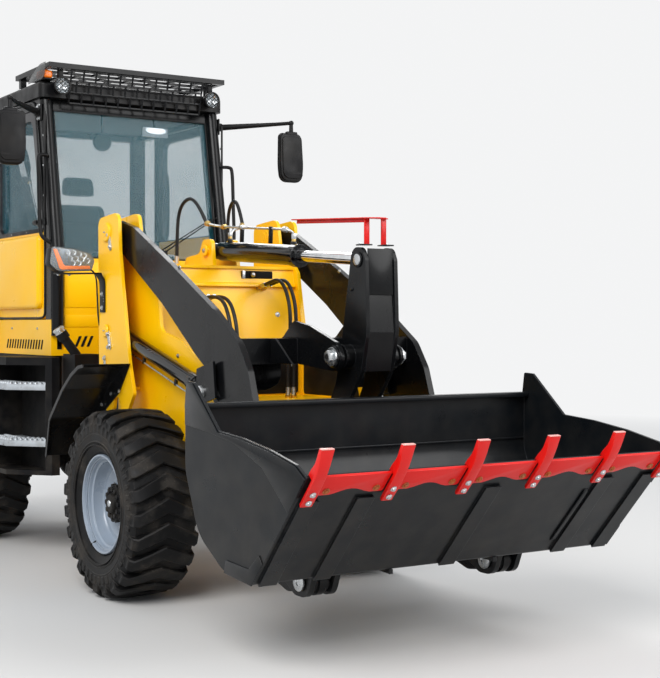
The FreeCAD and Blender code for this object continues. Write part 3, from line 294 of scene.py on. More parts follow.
# moulded plastic or rubber with a fine grain
def mouldedFinish(name, colour, roughness=0.55, grain=420.0, strength=0.18, dust=0.12, gloss=0.5):
    finish, tree, shader = newFinish(name, colour, roughness)
    shader.inputs["Specular IOR Level"].default_value = gloss
    dusty = mathOf(tree, "MULTIPLY", ranged(tree, noiseOf(tree, 7, 6), 0.4, 0.75, 0.0, 1.0),
                   ranged(tree, heightOf(tree), 0.2, 2.2, dust, dust * 0.3))
    tree.links.new(mixed(tree, dusty, tint(colour), tint(dustTints["plastic"])), shader.inputs["Base Color"])
    tree.links.new(ranged(tree, noiseOf(tree, 12, 4), 0.3, 0.7, roughness - 0.08, roughness + 0.1),
                   shader.inputs["Roughness"])
    bumped(tree, shader, noiseOf(tree, grain, 3), strength, 0.0008)
    return finish


# bright metal with fine lines and a little tarnish
def metalFinish(name, colour, roughness=0.28, stretch=(1, 1, 1), scale=60.0, metallic=1.0):
    finish, tree, shader = newFinish(name, colour, roughness, metallic)
    place = objectPlace(tree, stretch)
    tarnish = ranged(tree, noiseOf(tree, 18, 5), 0.45, 0.75, 0.0, 0.35)
    tree.links.new(mixed(tree, tarnish, tint(colour), tint(dustTints["metal"])), shader.inputs["Base Color"])
    tree.links.new(ranged(tree, noiseOf(tree, scale, 4, place), 0.3, 0.7, roughness * 0.6, roughness * 1.5),
                   shader.inputs["Roughness"])
    bumped(tree, shader, noiseOf(tree, scale * 4, 2, place), 0.05, 0.0005)
    return finish


# tyre rubber with pale dust in patches and on the lug tops
def rubberFinish():
    finish, tree, shader = newFinish("tyreRubber", "0c0c0d", 0.72)
    shader.inputs["Specular IOR Level"].default_value = 0.22
    patch = ranged(tree, noiseOf(tree, 7.5, 8), 0.50, 0.68, 0.0, 0.46)
    speck = ranged(tree, noiseOf(tree, 95, 4), 0.55, 0.70, 0.0, 0.5)
    rounded, normal = edgeOf(tree, 0.006)
    dusty = mathOf(tree, "ADD", mathOf(tree, "MULTIPLY", patch, mathOf(tree, "ADD", speck, 0.45)),
                   mathOf(tree, "MULTIPLY", rounded, 0.16))
    tree.links.new(mixed(tree, dusty, tint("0c0c0d"), tint(dustTints["tyre"])), shader.inputs["Base Color"])
    tree.links.new(ranged(tree, patch, 0.0, 0.46, 0.5, 0.9), shader.inputs["Roughness"])
    bumped(tree, shader, noiseOf(tree, 120, 5), 0.25, 0.0012, normal)
    return finish


# woven seat cloth: two crossing threads with flecks
def clothFinish():
    finish, tree, shader = newFinish("seatCloth", "25272a", 0.9)
    shader.inputs["Sheen Weight"].default_value = 0.3
    shader.inputs["Sheen Roughness"].default_value = 0.4
    heights = []
    for turn in ((0, 0, 0), (0, 0, math.pi / 2)):
        wave = tree.nodes.new("ShaderNodeTexWave")
        wave.inputs["Scale"].default_value = 150
        wave.inputs["Distortion"].default_value = 1.2
        wave.inputs["Detail"].default_value = 2
        tree.links.new(objectPlace(tree, turn=turn), wave.inputs["Vector"])
        heights.append(wave.outputs["Fac"])
    weave = mathOf(tree, "MAXIMUM", heights[0], heights[1])
    fleck = ranged(tree, noiseOf(tree, 190, 3), 0.5, 0.75, 0.0, 0.5)
    base = mixed(tree, fleck, tint("1d1f22"), tint("4a4d52"))
    tree.links.new(mixed(tree, ranged(tree, weave, 0.2, 1.0, 0.35, 0.0), base, tint("0e0f11")),
                   shader.inputs["Base Color"])
    bumped(tree, shader, weave, 0.35, 0.0012)
    return finish


# tinted pane: see-through, less so where it is smeared, with a gloss
def glassFinish(name, colour, cover=0.34, roughness=0.04):
    finish, tree, shader = newFinish(name, colour, roughness)
    smear = ranged(tree, noiseOf(tree, 1.3, 3), 0.35, 0.7, cover * 0.82, cover * 1.12)
    tree.links.new(smear, shader.inputs["Alpha"])
    hazy = ranged(tree, noiseOf(tree, 0.8, 2), 0.3, 0.7, 0.0, 0.1)
    tree.links.new(mixed(tree, hazy, tint(colour), tint(dustTints["pane"])), shader.inputs["Base Color"])
    return finish


# door leaf: lower shade below a height, upper shade above it
def twoToneFinish(name, lower, upper, height):
    finish = lower.copy()
    finish.name = name
    tree = finish.node_tree
    shader = tree.nodes["Principled BSDF"]
    below = shader.inputs["Base Color"].links[0].from_socket
    above = mathOf(tree, "GREATER_THAN", heightOf(tree), height)
    tree.links.new(mixed(tree, above, below, tint(upper)), shader.inputs["Base Color"])
    return finish


yellowPaint = paintFinish("yellowPaint", "ffc400", "f8b600", "ffd450", roughness=0.32, coat=0.15, dust=0.08,
                          edgeWearAndHighlight=0.3, gloss=0.3)
yellowPlastic = paintFinish("yellowPlastic", "fbbd02", "f1af00", "ffd04c", roughness=0.45, coat=0.05,
                            dust=0.15, gloss=0.3)
blackPaint = paintFinish("blackPaint", "0b0c0e", "08090a", "50545b", roughness=0.22, coat=0.05, edgeWearAndHighlight=0.26,
                         dust=0.05, gloss=0.16)
barrelPaint = paintFinish("barrelPaint", "08090a", "060607", "50545b", roughness=0.12, coat=0.35, edgeWearAndHighlight=0.2,
                          dust=0.04, peel=0.05, gloss=0.3)
framePaint = paintFinish("framePaint", "0c0c0e", "09090b", "46494f", roughness=0.5, coat=0.0, edgeWearAndHighlight=0.26,
                         dust=0.16, gloss=0.16)
bucketPaint = paintFinish("bucketPaint", "0e1114", "0b0d10", "5f636b", roughness=0.32, coat=0.05, edgeWearAndHighlight=0.32,
                          dust=0.06, gloss=0.2)
redPaint = paintFinish("redPaint", "d8100a", "c20c08", "ee6a58", roughness=0.34, coat=0.1, edgeWearAndHighlight=0.4,
                       dust=0.05, gloss=0.25)
wornTip = paintFinish("wornTip", "e9a59b", "e2433a", "f4d6d0", roughness=0.4, edgeWearAndHighlight=0.8, dust=0.05)
rustyBolt = metalFinish("rustyBolt", "b3622f", 0.45, scale=90, metallic=0.55)
# the pale edge tint stands partly for painted highlights along the rim's edges
rimPaint = paintFinish("rimPaint", "8d98a5", "7f8b99", "ccd4dc", roughness=0.28, coat=0.4, dust=0.12,
                       edgeWearAndHighlight=0.5)
blackPlastic = mouldedFinish("blackPlastic", "0b0b0d", 0.42, gloss=0.2)
matBlack = mouldedFinish("matBlack", "0b0b0c", 0.8, dust=0.05, gloss=0.2)
paleLining = mouldedFinish("paleLining", "6e7376", 0.8, dust=0.04)
hoseRubber = mouldedFinish("hoseRubber", "0f0f11", 0.42, 900.0, 0.3, dust=0.08, gloss=0.3)
castIron = mouldedFinish("castIron", "4d5052", 0.62, 140.0, 0.35, dust=0.4)
chromeRod = metalFinish("chromeRod", "e4e6e8", 0.10, (1, 8, 8), 40)
zincSteel = metalFinish("zincSteel", "c9ccce", 0.30)
brassZinc = metalFinish("brassZinc", "d7b56a", 0.30)
galvanised = metalFinish("galvanised", "b9bec3", 0.42, scale=26, metallic=0.7)
brightReflector = metalFinish("brightReflector", "eef2f5", 0.16, scale=120)
lampInside = metalFinish("lampInside", "666c72", 0.22, scale=80)
mirrorGlass = metalFinish("mirrorGlass", "c6ccd2", 0.03, scale=4)
tyreRubber = rubberFinish()
seatCloth = clothFinish()
tealGlass = glassFinish("tealGlass", "065c6b", 0.26)
clearLens = glassFinish("clearLens", "e6eef2", 0.12)
smokedLens = glassFinish("smokedLens", "2c2522", 0.62)
amberLens = mouldedFinish("amberLens", "ff7d18", 0.22, 700.0, 0.35, dust=0.02)
redLens = mouldedFinish("redLens", "c01410", 0.22, 700.0, 0.35, dust=0.02)
doorPaint = twoToneFinish("doorPaint", yellowPaint, "1d1d20", 2.172)

# what each carried-over node is finished with
nodeFinishes = (
    (yellowPaint, "front_chassis body_panels"),
    (doorPaint, "door_left door_right"),
    (yellowPlastic, "rear_fenders"),
    (blackPaint, "loader_arms rocker bucket_link boom stick idler_links coupler_link swing_post "
                 "stabiliser_frame cab_frame stabiliser_leg_left stabiliser_leg_right front_fenders "
                 "roof_guard"),
    (barrelPaint, "tilt_barrel lift_barrels boom_ram_barrel stick_ram_barrel hoe_ram_barrel"),
    (framePaint, "rear_chassis front_axle rear_axle side_steps fuel_tank "
                 "steer_barrel_left steer_barrel_right"),
    (bucketPaint, "bucket_shell hoe_bucket"),
    (blackPlastic, "cab_roof cab_controls"),
    (castIron, "engine"),
    (chromeRod, "tilt_rod lift_rods boom_ram_rod stick_ram_rod hoe_ram_rod steer_rod_left steer_rod_right"),
    (hoseRubber, "hydraulic_hoses"),
    (tealGlass, "cab_glass door_glass_left door_glass_right"),
)
for finish, names in nodeFinishes:
    for name in names.split():
        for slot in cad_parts[name].material_slots:
            slot.material = finish
print("finishes made")


# shapes
# bevels the edges that turn more than an angle
def softened(part, width, segments=2, angle=30):
    edges = [e for e in part.edges if len(e.link_faces) == 2 and e.calc_face_angle(0) > math.radians(angle)]
    if width > 0 and edges:
        bmesh.ops.bevel(part, geom=edges, offset=width, offset_type="OFFSET", segments=segments, profile=0.5,
                        affect="EDGES", clamp_overlap=True, material=-1)
    return part


def blockPart(low, high, bevel=0.002, segments=2):
    part = bmesh.new()
    low, high = Vector(low), Vector(high)
    size = Vector([abs(b - a) for a, b in zip(low, high)])
    bmesh.ops.create_cube(part, size=1.0, matrix=Matrix.LocRotScale((low + high) / 2, None, size))
    return softened(part, bevel, segments)


def rodPart(start, end, radius, endRadius=None, sides=24, bevel=0.0):
    part = bmesh.new()
    start, end = Vector(start), Vector(end)
    along = end - start
    place = Matrix.LocRotScale((start + end) / 2, along.to_track_quat("Z", "Y"), None)
    bmesh.ops.create_cone(part, cap_ends=True, segments=sides, radius1=radius,
                          radius2=radius if endRadius is None else endRadius, depth=along.length,
                          matrix=place)
    return softened(part, bevel, 2, 40)


def ballPart(at, radius, squash=1.0):
    part = bmesh.new()
    bmesh.ops.create_uvsphere(part, u_segments=24, v_segments=14, radius=radius,
                              matrix=Matrix.LocRotScale(Vector(at), None, (1, 1, squash)))
    return part


# turns a profile of (along the axis, radius) points right round
def turnedPart(profile, centre, axis=(0, 1, 0), sides=48, closed=True):
    part = bmesh.new()
    corners = [part.verts.new((0.0, along, radius)) for along, radius in profile]
    edges = [part.edges.new(two) for two in zip(corners, corners[1:])]
    if closed:
        edges.append(part.edges.new((corners[-1], corners[0])))
    bmesh.ops.spin(part, geom=corners + edges, cent=(0, 0, 0), axis=(0, 1, 0), dvec=(0, 0, 0), angle=math.tau,
                   steps=sides, use_merge=True)
    bmesh.ops.remove_doubles(part, verts=part.verts, dist=1e-5)
    bmesh.ops.recalc_face_normals(part, faces=part.faces)
    turn = Vector((0, 1, 0)).rotation_difference(Vector(axis))
    part.transform(Matrix.LocRotScale(Vector(centre), turn, None))
    return part


# extrudes the part's faces along a run and makes the normals agree
def pushOut(part, run):
    grown = bmesh.ops.extrude_face_region(part, geom=list(part.faces))
    moved = [v for v in grown["geom"] if isinstance(v, bmesh.types.BMVert)]
    bmesh.ops.translate(part, verts=moved, vec=run)
    bmesh.ops.recalc_face_normals(part, faces=part.faces)


# a plate from an outline; a point may carry a corner radius as its third number
def slabPart(outline, low, high, across="XZ", bevel=0.0015, segments=2):
    part = bmesh.new()
    spots = {"XZ": lambda a, b: (a, low, b), "YZ": lambda a, b: (low, a, b), "XY": lambda a, b: (a, b, low)}
    lift = {"XZ": (0, high - low, 0), "YZ": (high - low, 0, 0), "XY": (0, 0, high - low)}
    corners = [part.verts.new(spots[across](p[0], p[1])) for p in outline]
    part.faces.new(corners)
    for corner, p in zip(corners, outline):
        if len(p) > 2:
            bmesh.ops.bevel(part, geom=[corner], offset=p[2], offset_type="OFFSET", segments=5, profile=0.5,
                            affect="VERTICES", clamp_overlap=True, material=-1)
    pushOut(part, lift[across])
    return softened(part, bevel, segments)


# moves a part's mesh into a larger one
def gather(whole, part):
    scratch = bpy.data.meshes.new("scratch")
    part.to_mesh(scratch)
    part.free()
    whole.from_mesh(scratch)
    bpy.data.meshes.remove(scratch)


def joined(*parts):
    whole = bmesh.new()
    for part in parts:
        gather(whole, part)
    return whole


# hexagon head on a washer; size is the radius over the head's corners
def boltPart(at, out, size=0.014, washer=True):
    at, out = Vector(at), Vector(out).normalized()
    parts = [rodPart(at + out * size * 0.2, at + out * size * 0.85, size, sides=6, bevel=size * 0.09)]
    if washer:
        parts.append(rodPart(at - out * 0.001, at + out * size * 0.22, size * 1.35, sides=20))
    return joined(*parts)


def mirroredPart(part):
    other = part.copy()
    bmesh.ops.scale(other, verts=other.verts, vec=(1, -1, 1))
    bmesh.ops.reverse_faces(other, faces=other.faces)
    return other


# the part itself turned into its mirror image
def otherSide(part):
    other = mirroredPart(part)
    part.free()
    return other


# an outline of (y, z, corner radius) pulled towards its middle by an inset
def drawnIn(outline, middle, inset):
    middle = Vector(middle)
    points = []
    for y, z, corner in outline:
        out = Vector((y, z)) - middle
        spot = middle + out * (1 - inset / out.length)
        points.append((spot.x, spot.y, corner))
    return points


# routes or straight lines on the left side, then the same ones on the right
def routesBothSides(*routes):
    return [[(x, sign * y, z) for x, y, z in route] for sign in (1, -1) for route in routes]


def bothSides(parts):
    return parts + [(mirroredPart(p[0]), p[1]) if isinstance(p, tuple) else mirroredPart(p) for p in parts]


# puts a finished mesh or curve into the scene, where it rides on a body
def placeOn(body, name, data):
    piece = bpy.data.objects.new(name, data)
    scene.collection.objects.link(piece)
    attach(piece, body)
    return piece


# joins parts, or (part, finish number) pairs, into one piece that rides on a body
def addPiece(name, body, finishes, parts, smooth=32, stands=()):
    whole = bmesh.new()
    for item in parts:
        part, number = item if isinstance(item, tuple) else (item, 0)
        for face in part.faces:
            face.material_index = number
        gather(whole, part)
    bmesh.ops.translate(whole, verts=whole.verts, vec=(axleX, 0, 0))
    mesh = bpy.data.meshes.new(name)
    whole.to_mesh(mesh)
    whole.free()
    for finish in finishes:
        mesh.materials.append(finish)
    mesh.shade_smooth()
    mesh.set_sharp_from_angle(angle=math.radians(smooth))
    piece = placeOn(body, name, mesh)
    if stands:
        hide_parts(*stands)
    return piece


# round curve with no spline yet; it is placed once its splines are in
def newCurve(name, finish, radius, roundness):
    curve = bpy.data.curves.new(name, "CURVE")
    curve.dimensions = "3D"
    curve.bevel_depth = radius
    curve.bevel_resolution = roundness
    curve.use_fill_caps = True
    curve.materials.append(finish)
    return curve


# radii of everything drawn as a tube
tubeSize = {"hardLine": 0.0055, "tiltLine": 0.0075, "cable": 0.0055, "corner": 0.043, "gutter": 0.011,
            "handle": 0.0125, "rubber": 0.0075, "fenderEdge": 0.0085, "hose": 0.011, "boomHose": 0.0105}


# bent tubes, one spline a route, each a smooth curve near its points
def addTubes(name, body, finish, radius, routes, smooth=True):
    curve = newCurve(name, finish, radius, 3)
    curve.resolution_u = 8
    for route in routes:
        spline = curve.splines.new("NURBS" if smooth else "POLY")
        spline.points.add(len(route) - 1)
        for point, place in zip(spline.points, route):
            point.co = (place[0] + axleX, place[1], place[2], 1)
        if smooth:
            spline.order_u = 3
            spline.use_endpoint_u = True
    return placeOn(body, name, curve)


weld = {"size": 0.0045, "ripple": 0.011, "dip": 0.72}


# rippled weld beads along straight joints
def addWelds(name, body, finish, lines, size=weld["size"]):
    curve = newCurve(name, finish, size, 1)
    for start, end in lines:
        start, end = Vector(start), Vector(end)
        count = max(2, int((end - start).length / weld["ripple"]))
        spline = curve.splines.new("POLY")
        spline.points.add(count)
        for i, point in enumerate(spline.points):
            spot = start.lerp(end, i / count)
            point.co = (spot.x + axleX, spot.y, spot.z, 1)
            point.radius = 1.0 if i % 2 else weld["dip"]
    return placeOn(body, name, curve)


# wheels
tread = {"lugs": 24, "lugArc": 0.086, "lean": 0.46, "radius": 0.530, "bevel": 0.007}
tyreShape = [(-0.152, 0.256), (-0.156, 0.284), (-0.172, 0.297), (-0.178, 0.312), (-0.186, 0.322),
             (-0.190, 0.338), (-0.196, 0.352), (-0.199, 0.392), (-0.199, 0.424), (-0.193, 0.456),
             (-0.176, 0.482), (-0.120, 0.497), (-0.060, 0.502), (0.0, 0.503)]
tyreInside = [(-0.122, 0.257), (-0.130, 0.300), (-0.160, 0.370), (-0.165, 0.430), (-0.150, 0.466),
              (-0.08, 0.484)]
lugSection = [(-0.2035, 0.446), (-0.2010, 0.496), (-0.170, 0.521), (-0.09, 0.5285), (0.0, 0.530),
              (0.09, 0.5285), (0.170, 0.521), (0.2010, 0.496), (0.2035, 0.446), (0.182, 0.444),
              (0.160, 0.485), (0.0, 0.496), (-0.160, 0.485), (-0.182, 0.444)]


# one tread bar: a section pushed along the tread, then laid round the tyre in a shallow V
def lugPart():
    part = bmesh.new()
    half = tread["lugArc"] / 2
    corners = [part.verts.new((-half, y, radius)) for y, radius in lugSection]
    part.faces.new(corners)
    pushOut(part, (2 * half, 0, 0))
    ends = [f for f in part.faces if abs(f.normal.y) > 0.9 and f.calc_center_median().z < 0.48
            and abs(f.calc_center_median().y) > 0.2]
    bmesh.ops.inset_individual(part, faces=ends, thickness=0.017, depth=-0.010)
    softened(part, tread["bevel"], 1, 38)
    for corner in part.verts:
        across = abs(corner.co.y)
        taper = 1.0 - 0.16 * min(1.0, across / 0.2)
        angle = (corner.co.x * taper + tread["lean"] * min(across, 0.17) - 0.04) / tread["radius"]
        radius = corner.co.z
        corner.co = (radius * math.sin(angle), corner.co.y, radius * math.cos(angle))
    return part


def tyreParts(at):
    outline = tyreShape + [(-y, radius) for y, radius in reversed(tyreShape[:-1])]
    inside = tyreInside + [(-y, radius) for y, radius in reversed(tyreInside)]
    parts = [turnedPart(outline + list(reversed(inside)), (0, 0, 0), sides=72)]
    lug = lugPart()
    for k in range(tread["lugs"]):
        copy = lug.copy()
        copy.transform(Matrix.Rotation(math.tau * k / tread["lugs"], 4, "Y"))
        parts.append(copy)
    lug.free()
    for k in range(2 * tread["lugs"]):
        rib = slabPart([(-0.013, 0.404, 0.004), (0.013, 0.404, 0.004), (0.011, 0.450), (-0.011, 0.450)],
                       0.195, 0.2025, "XZ", 0.002, 1)
        rib.transform(Matrix.Rotation(math.tau * (k + 0.5) / (2 * tread["lugs"]), 4, "Y"))
        parts += [
            mirroredPart(rib),
            rib,
        ]
    for radius in (0.394, 0.352, 0.334):
        ring = [(0.192, radius - 0.005), (0.2005, radius - 0.002), (0.2005, radius + 0.002),
                (0.192, radius + 0.005)]
        ringPart = turnedPart(ring, (0, 0, 0), sides=72)
        parts += [
            mirroredPart(ringPart),
            ringPart,
        ]
    for part in parts:
        part.transform(Matrix.Translation(at))
    return parts


rimShape = {"nuts": 12, "nutRing": 0.079, "studs": 10, "studRing": 0.155}


# silver rim with a deep dish and the black hub with its bolts; the outer side faces +Y
def rimParts(at, side):
    shell = [(0.166, 0.281), (0.172, 0.277), (0.171, 0.268), (0.150, 0.262), (0.144, 0.251), (0.126, 0.247),
             (0.120, 0.238), (0.070, 0.235), (0.058, 0.228), (0.054, 0.205), (0.060, 0.198), (0.054, 0.190),
             (0.036, 0.165), (0.030, 0.120), (0.030, 0.060), (0.018, 0.060), (0.018, 0.120), (0.024, 0.168),
             (0.040, 0.222), (0.040, 0.240), (-0.110, 0.243), (-0.150, 0.252), (-0.166, 0.274),
             (-0.166, 0.281), (-0.155, 0.281), (-0.153, 0.2545), (0.153, 0.2545), (0.155, 0.281)]
    parts = [(turnedPart(shell, (0, 0, 0), sides=72), 0)]
    hub = [(0.020, 0.0), (0.020, 0.114), (0.036, 0.114), (0.042, 0.100), (0.070, 0.096), (0.074, 0.101),
           (0.094, 0.101), (0.099, 0.094), (0.100, 0.058), (0.118, 0.052), (0.124, 0.044), (0.124, 0.0)]
    parts += [
        (turnedPart(hub, (0, 0, 0), sides=48, closed=False), 1),
        (turnedPart([(-0.134, 0.0), (-0.134, 0.100), (-0.02, 0.104), (0.02, 0.104), (0.02, 0.0)], (0, 0, 0),
                    sides=36, closed=False), 1),
    ]
    for k in range(rimShape["nuts"]):
        angle = math.tau * k / rimShape["nuts"]
        spot = Vector((rimShape["nutRing"] * math.sin(angle), 0.098, rimShape["nutRing"] * math.cos(angle)))
        parts.append((boltPart(spot, (0, 1, 0), 0.0155), 1))
        block = blockPart((-0.011, 0.070, 0.094), (0.011, 0.097, 0.110), 0.002)
        block.transform(Matrix.Rotation(angle + 0.26, 4, "Y"))
        parts.append((block, 1))
    for k in range(rimShape["studs"]):
        angle = math.tau * (k + 0.5) / rimShape["studs"]
        spot = Vector((rimShape["studRing"] * math.sin(angle), 0.0335,
                       rimShape["studRing"] * math.cos(angle)))
        parts.append((boltPart(spot, (0, 1, 0), 0.011), 2))
    stem = Vector((-0.12, 0.150, -0.225))
    parts += [
        (rodPart(stem, stem + Vector((-0.02, 0.030, -0.022)), 0.005, 0.0042, 12), 1),
        (turnedPart([(0.130, 0.0), (0.129, 0.012), (0.127, 0.018), (0.123, 0.020)], (0, 0, 0), sides=24,
                    closed=False), 2),
    ]
    placed = []
    for part, number in parts:
        if side < 0:
            part = otherSide(part)
        part.transform(Matrix.Translation(at))
        placed.append((part, number))
    return placed


for name in ("front_left", "front_right", "rear_left", "rear_right"):
    low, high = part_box("tyre_" + name)
    at = (low + high) / 2 - Vector((axleX, 0, 0))
    side = 1 if at.y > 0 else -1
    body = "wheel_" + name
    tyre = addPiece("treadTyre_" + name, body, [tyreRubber], tyreParts(at), 34, ["tyre_" + name])
    rim = addPiece("dishedRim_" + name, body, [rimPaint, framePaint, zincSteel], rimParts(at, side), 34,
                   ["rim_" + name])
print("wheels made")


# bucket: side bands, lip segments, teeth, underside strips
bucket = {"heel": (1.955, 0.402), "lip": (2.412, 0.916), "pitch": 0.404, "teeth": 6, "gap": 0.031}
lipRun = Vector((bucket["lip"][0] - bucket["heel"][0], 0, bucket["lip"][1] - bucket["heel"][1])).normalized()
lipFrame = Matrix(((lipRun.x, 0, -lipRun.z, bucket["lip"][0]), (0, 1, 0, 0),
                   (lipRun.z, 0, lipRun.x, bucket["lip"][1]), (0, 0, 0, 1)))


# from (along the floor past the lip, y, up from the floor's underside) to the machine
def onLip(part):
    part.transform(lipFrame)
    return part


def edgeSegment(start, end):
    width = end - start
    outline = [(0.012, start), (0.012, end), (-0.100, end, 0.012)]
    for k in range(9):
        share = k / 8
        outline.append((-0.100 + 0.030 * math.sin(math.pi * share) ** 1.5, end - width * (0.2 + 0.6 * share)))
    outline.append((-0.100, start, 0.012))
    parts = [onLip(slabPart(outline, -0.0145, -0.0004, "XY", 0.003))]
    for y in (start + 0.045, end - 0.045):
        ring = turnedPart([(0.0, 0.0), (0.0, 0.017), (0.004, 0.017), (0.005, 0.013), (0.002, 0.009),
                           (0.007, 0.008), (0.009, 0.005), (0.009, 0.0)], (-0.074, y, -0.0145), (0, 0, -1),
                          20, False)
        parts.append((onLip(ring), 1))
    return parts


# strap bolted under the lip, whose tip bends forward past the edge
def toothParts(y):
    side = [(-0.148, -0.0165, 0.010), (-0.148, -0.0335, 0.012), (-0.020, -0.0345, 0.04),
            (0.060, -0.030, 0.05), (0.157, 0.006, 0.002), (0.146, 0.022, 0.002), (0.075, 0.010, 0.02),
            (0.030, 0.017, 0.01), (0.0025, 0.0165), (-0.060, 0.030, 0.02), (-0.112, 0.030, 0.010),
            (-0.112, 0.0148), (0.0025, 0.0147), (0.0025, -0.0147)]
    tooth = slabPart(side, y - 0.026, y + 0.026, "XZ", 0.003)
    for corner in tooth.verts:
        reach = corner.co.x
        swell = 0.22 * max(0.0, min(1.0, (reach - 0.07) / 0.08))
        wide = 1.0 + swell + 0.16 * max(0.0, 1 - abs(reach + 0.08) / 0.06)
        corner.co.y = y + (corner.co.y - y) * wide
    parts = [(onLip(tooth), 0)]
    for along in (-0.118, -0.068):
        head = turnedPart([(0.0, 0.0), (0.0, 0.0150), (0.003, 0.0150), (0.006, 0.0100), (0.009, 0.0095),
                           (0.010, 0.0)], (along, y, -0.0345), (0, 0, -1), 18, False)
        parts.append((onLip(head), 2))
    tip = slabPart([(0.1565, 0.0045), (0.1605, 0.0075), (0.150, 0.0235), (0.1455, 0.0218)], y - 0.0305,
                   y + 0.0305, "XZ", 0.001)
    parts.append((onLip(tip), 3))
    return parts


edgeParts = []
for i in range(bucket["teeth"]):
    y = (i - (bucket["teeth"] - 1) / 2) * bucket["pitch"]
    edgeParts += toothParts(y)
    if i + 1 < bucket["teeth"]:
        edgeParts += edgeSegment(y + bucket["gap"], y + bucket["pitch"] - bucket["gap"])
edge = addPiece("toothedEdge", "bucket", [redPaint, rustyBolt, zincSteel, wornTip], edgeParts, 34,
                ["bucket_edge"])

sideBand = [(1.312, 1.155), (1.314, 1.065), (1.55, 1.045), (1.80, 1.010), (2.05, 0.925), (2.21, 0.800),
            (2.268, 0.752), (2.402, 0.909), (2.328, 0.955), (2.108, 1.000), (1.868, 1.033), (1.640, 1.050),
            (1.390, 1.262), (1.326, 1.266)]
bandParts = bothSides([slabPart(sideBand, 1.0502, 1.0565, "XZ", 0.002)])
heelGuard = [(1.70, 0.420), (1.955, 0.3995), (2.05, 0.508), (2.02, 0.545), (1.93, 0.470), (1.72, 0.480)]
bandParts += bothSides([slabPart(heelGuard, 1.0502, 1.056, "XZ", 0.002)])
rib = slabPart([(-0.60, -0.001), (-0.22, -0.001), (-0.24, -0.010), (-0.58, -0.010)], 0.608, 0.632, "XZ")
bandParts.append(onLip(rib))
seam = blockPart((-0.215, -1.034, 0.0142), (-0.207, 1.034, 0.0172), 0.001)
bandParts += [
    onLip(seam),
    blockPart((1.3215, -1.03, 0.905), (1.3255, 1.03, 0.916), 0.001),
]
topFold = slabPart([(1.296, 1.165), (1.356, 1.165), (1.362, 1.158), (1.362, 1.140), (1.354, 1.140),
                    (1.354, 1.148), (1.296, 1.148)], -1.0355, 1.0355, "XZ", 0.0015)
bandParts.append(topFold)
for y in (-0.605, -0.505, 0.505, 0.605):
    bandParts.append(slabPart([(1.300, 1.120), (1.300, 0.84), (1.270, 0.86), (1.262, 0.98), (1.284, 1.120)],
                              y - 0.006, y + 0.006, "XZ"))
for y in (-0.643, -0.467, 0.467, 0.643):
    out = 1 if abs(y) > 0.55 else -1
    sign = 1 if y > 0 else -1
    spot = Vector((1.680, y, 0.335))
    bandParts.append((turnedPart([(0.0, 0.0), (0.0, 0.046), (0.008, 0.046), (0.010, 0.042), (0.010, 0.020),
                                  (0.006, 0.018), (0.006, 0.0)], spot, (0, sign * out, 0), 32, False), 1))
addPiece("bucketTrim", "bucket", [bucketPaint, zincSteel], bandParts, 34)
bucketWelds = []
for y in (-1.0345, 1.0345):
    bucketWelds += [((1.953, y, 0.420), (2.398, y, 0.921)), ((1.324, y, 0.88), (1.324, y, 1.14))]
for y in (-0.320, -0.300, 0.300, 0.320):
    bucketWelds.append(((1.304, y, 0.88), (1.304, y, 1.115)))
addWelds("bucketWelds", "bucket", bucketPaint, bucketWelds)
print("bucket made")


# front frame: pin ends, keepers, ridge, black front and side plates, fittings and welds
frontFrame = {"plate": 0.627, "armPin": (-0.610, 2.100), "liftPin": (-0.620, 1.500),
              "tiltPin": (-0.320, 1.990)}


# front face of the leaning plate between the towers
def crossFace(z):
    return -0.246 + 0.118 * (1.880 - z) / 0.580


# flat keeper with round ends and two bolts, on a plate that faces +Y or -Y
def keeperPart(x, y, z, sign, lean=0.0, long=0.062, wide=0.017):
    outline = [(-wide, -long, wide * 0.98), (wide, -long, wide * 0.98), (wide, long, wide * 0.98),
               (-wide, long, wide * 0.98)]
    parts = [slabPart(outline, 0.0, 0.006, "XZ", 0.001), boltPart((0, 0.006, long * 0.62), (0, 1, 0), 0.0115),
             boltPart((0, 0.006, -long * 0.62), (0, 1, 0), 0.0115)]
    keeper = joined(*parts)
    keeper.transform(Matrix.Rotation(lean, 4, "Y"))
    if sign < 0:
        keeper = otherSide(keeper)
    keeper.transform(Matrix.Translation((x, y, z)))
    return keeper


frameParts = []
for sign in (1, -1):
    face = sign * (frontFrame["plate"] + 0.0003)
    for (x, z), radius in ((frontFrame["armPin"], 0.060), (frontFrame["liftPin"], 0.040)):
        outside = [(0.0, 0.0), (0.010, 0.0), (0.012, radius * 0.45), (0.010, radius * 0.5),
                   (0.010, radius * 0.86), (0.006, radius * 0.96), (0.0, radius)]
        frameParts += [
            (turnedPart(outside, (x, face + sign * 0.004, z), (0, sign, 0), 32, False), 0),
            (rodPart((x, face + sign * 0.012, z), (x, face + sign * 0.026, z), 0.006, 0.003, 12), 1),
            (keeperPart(x + 0.045, face, z - 0.055, sign, -0.35), 1),
        ]
    frameParts.append((keeperPart(-0.640, face, 1.300, sign, 0.0, 0.050, 0.014), 1))
    for x, z in ((-0.43, 1.28), (-0.60, 1.40)):
        frameParts.append((boltPart((x, face, z), (0, sign, 0), 0.010), 1))
    x, z = frontFrame["tiltPin"]
    head = [(0.0, 0.0), (0.007, 0.0), (0.007, 0.030), (0.003, 0.036), (0.0, 0.036)]
    frameParts += [
        (turnedPart(head, (x, sign * 0.108, z), (0, sign, 0), 28, False), 0),
        (boltPart((x, sign * 0.114, z), (0, sign, 0), 0.011), 1),
    ]
    inner = sign * 0.495
    for x, z in ((0.36, 1.245), (0.10, 1.36), (-0.05, 0.80), (0.30, 0.80)):
        frameParts.append((boltPart((x, inner, z), (0, sign, 0), 0.010), 1))
ridge = [(1.798, 0.0), (1.792, 0.022), (1.772, 0.026), (1.766, 0.0)]
foot = [(1.385, 0.0), (1.380, 0.010), (1.320, 0.012), (1.312, 0.0)]
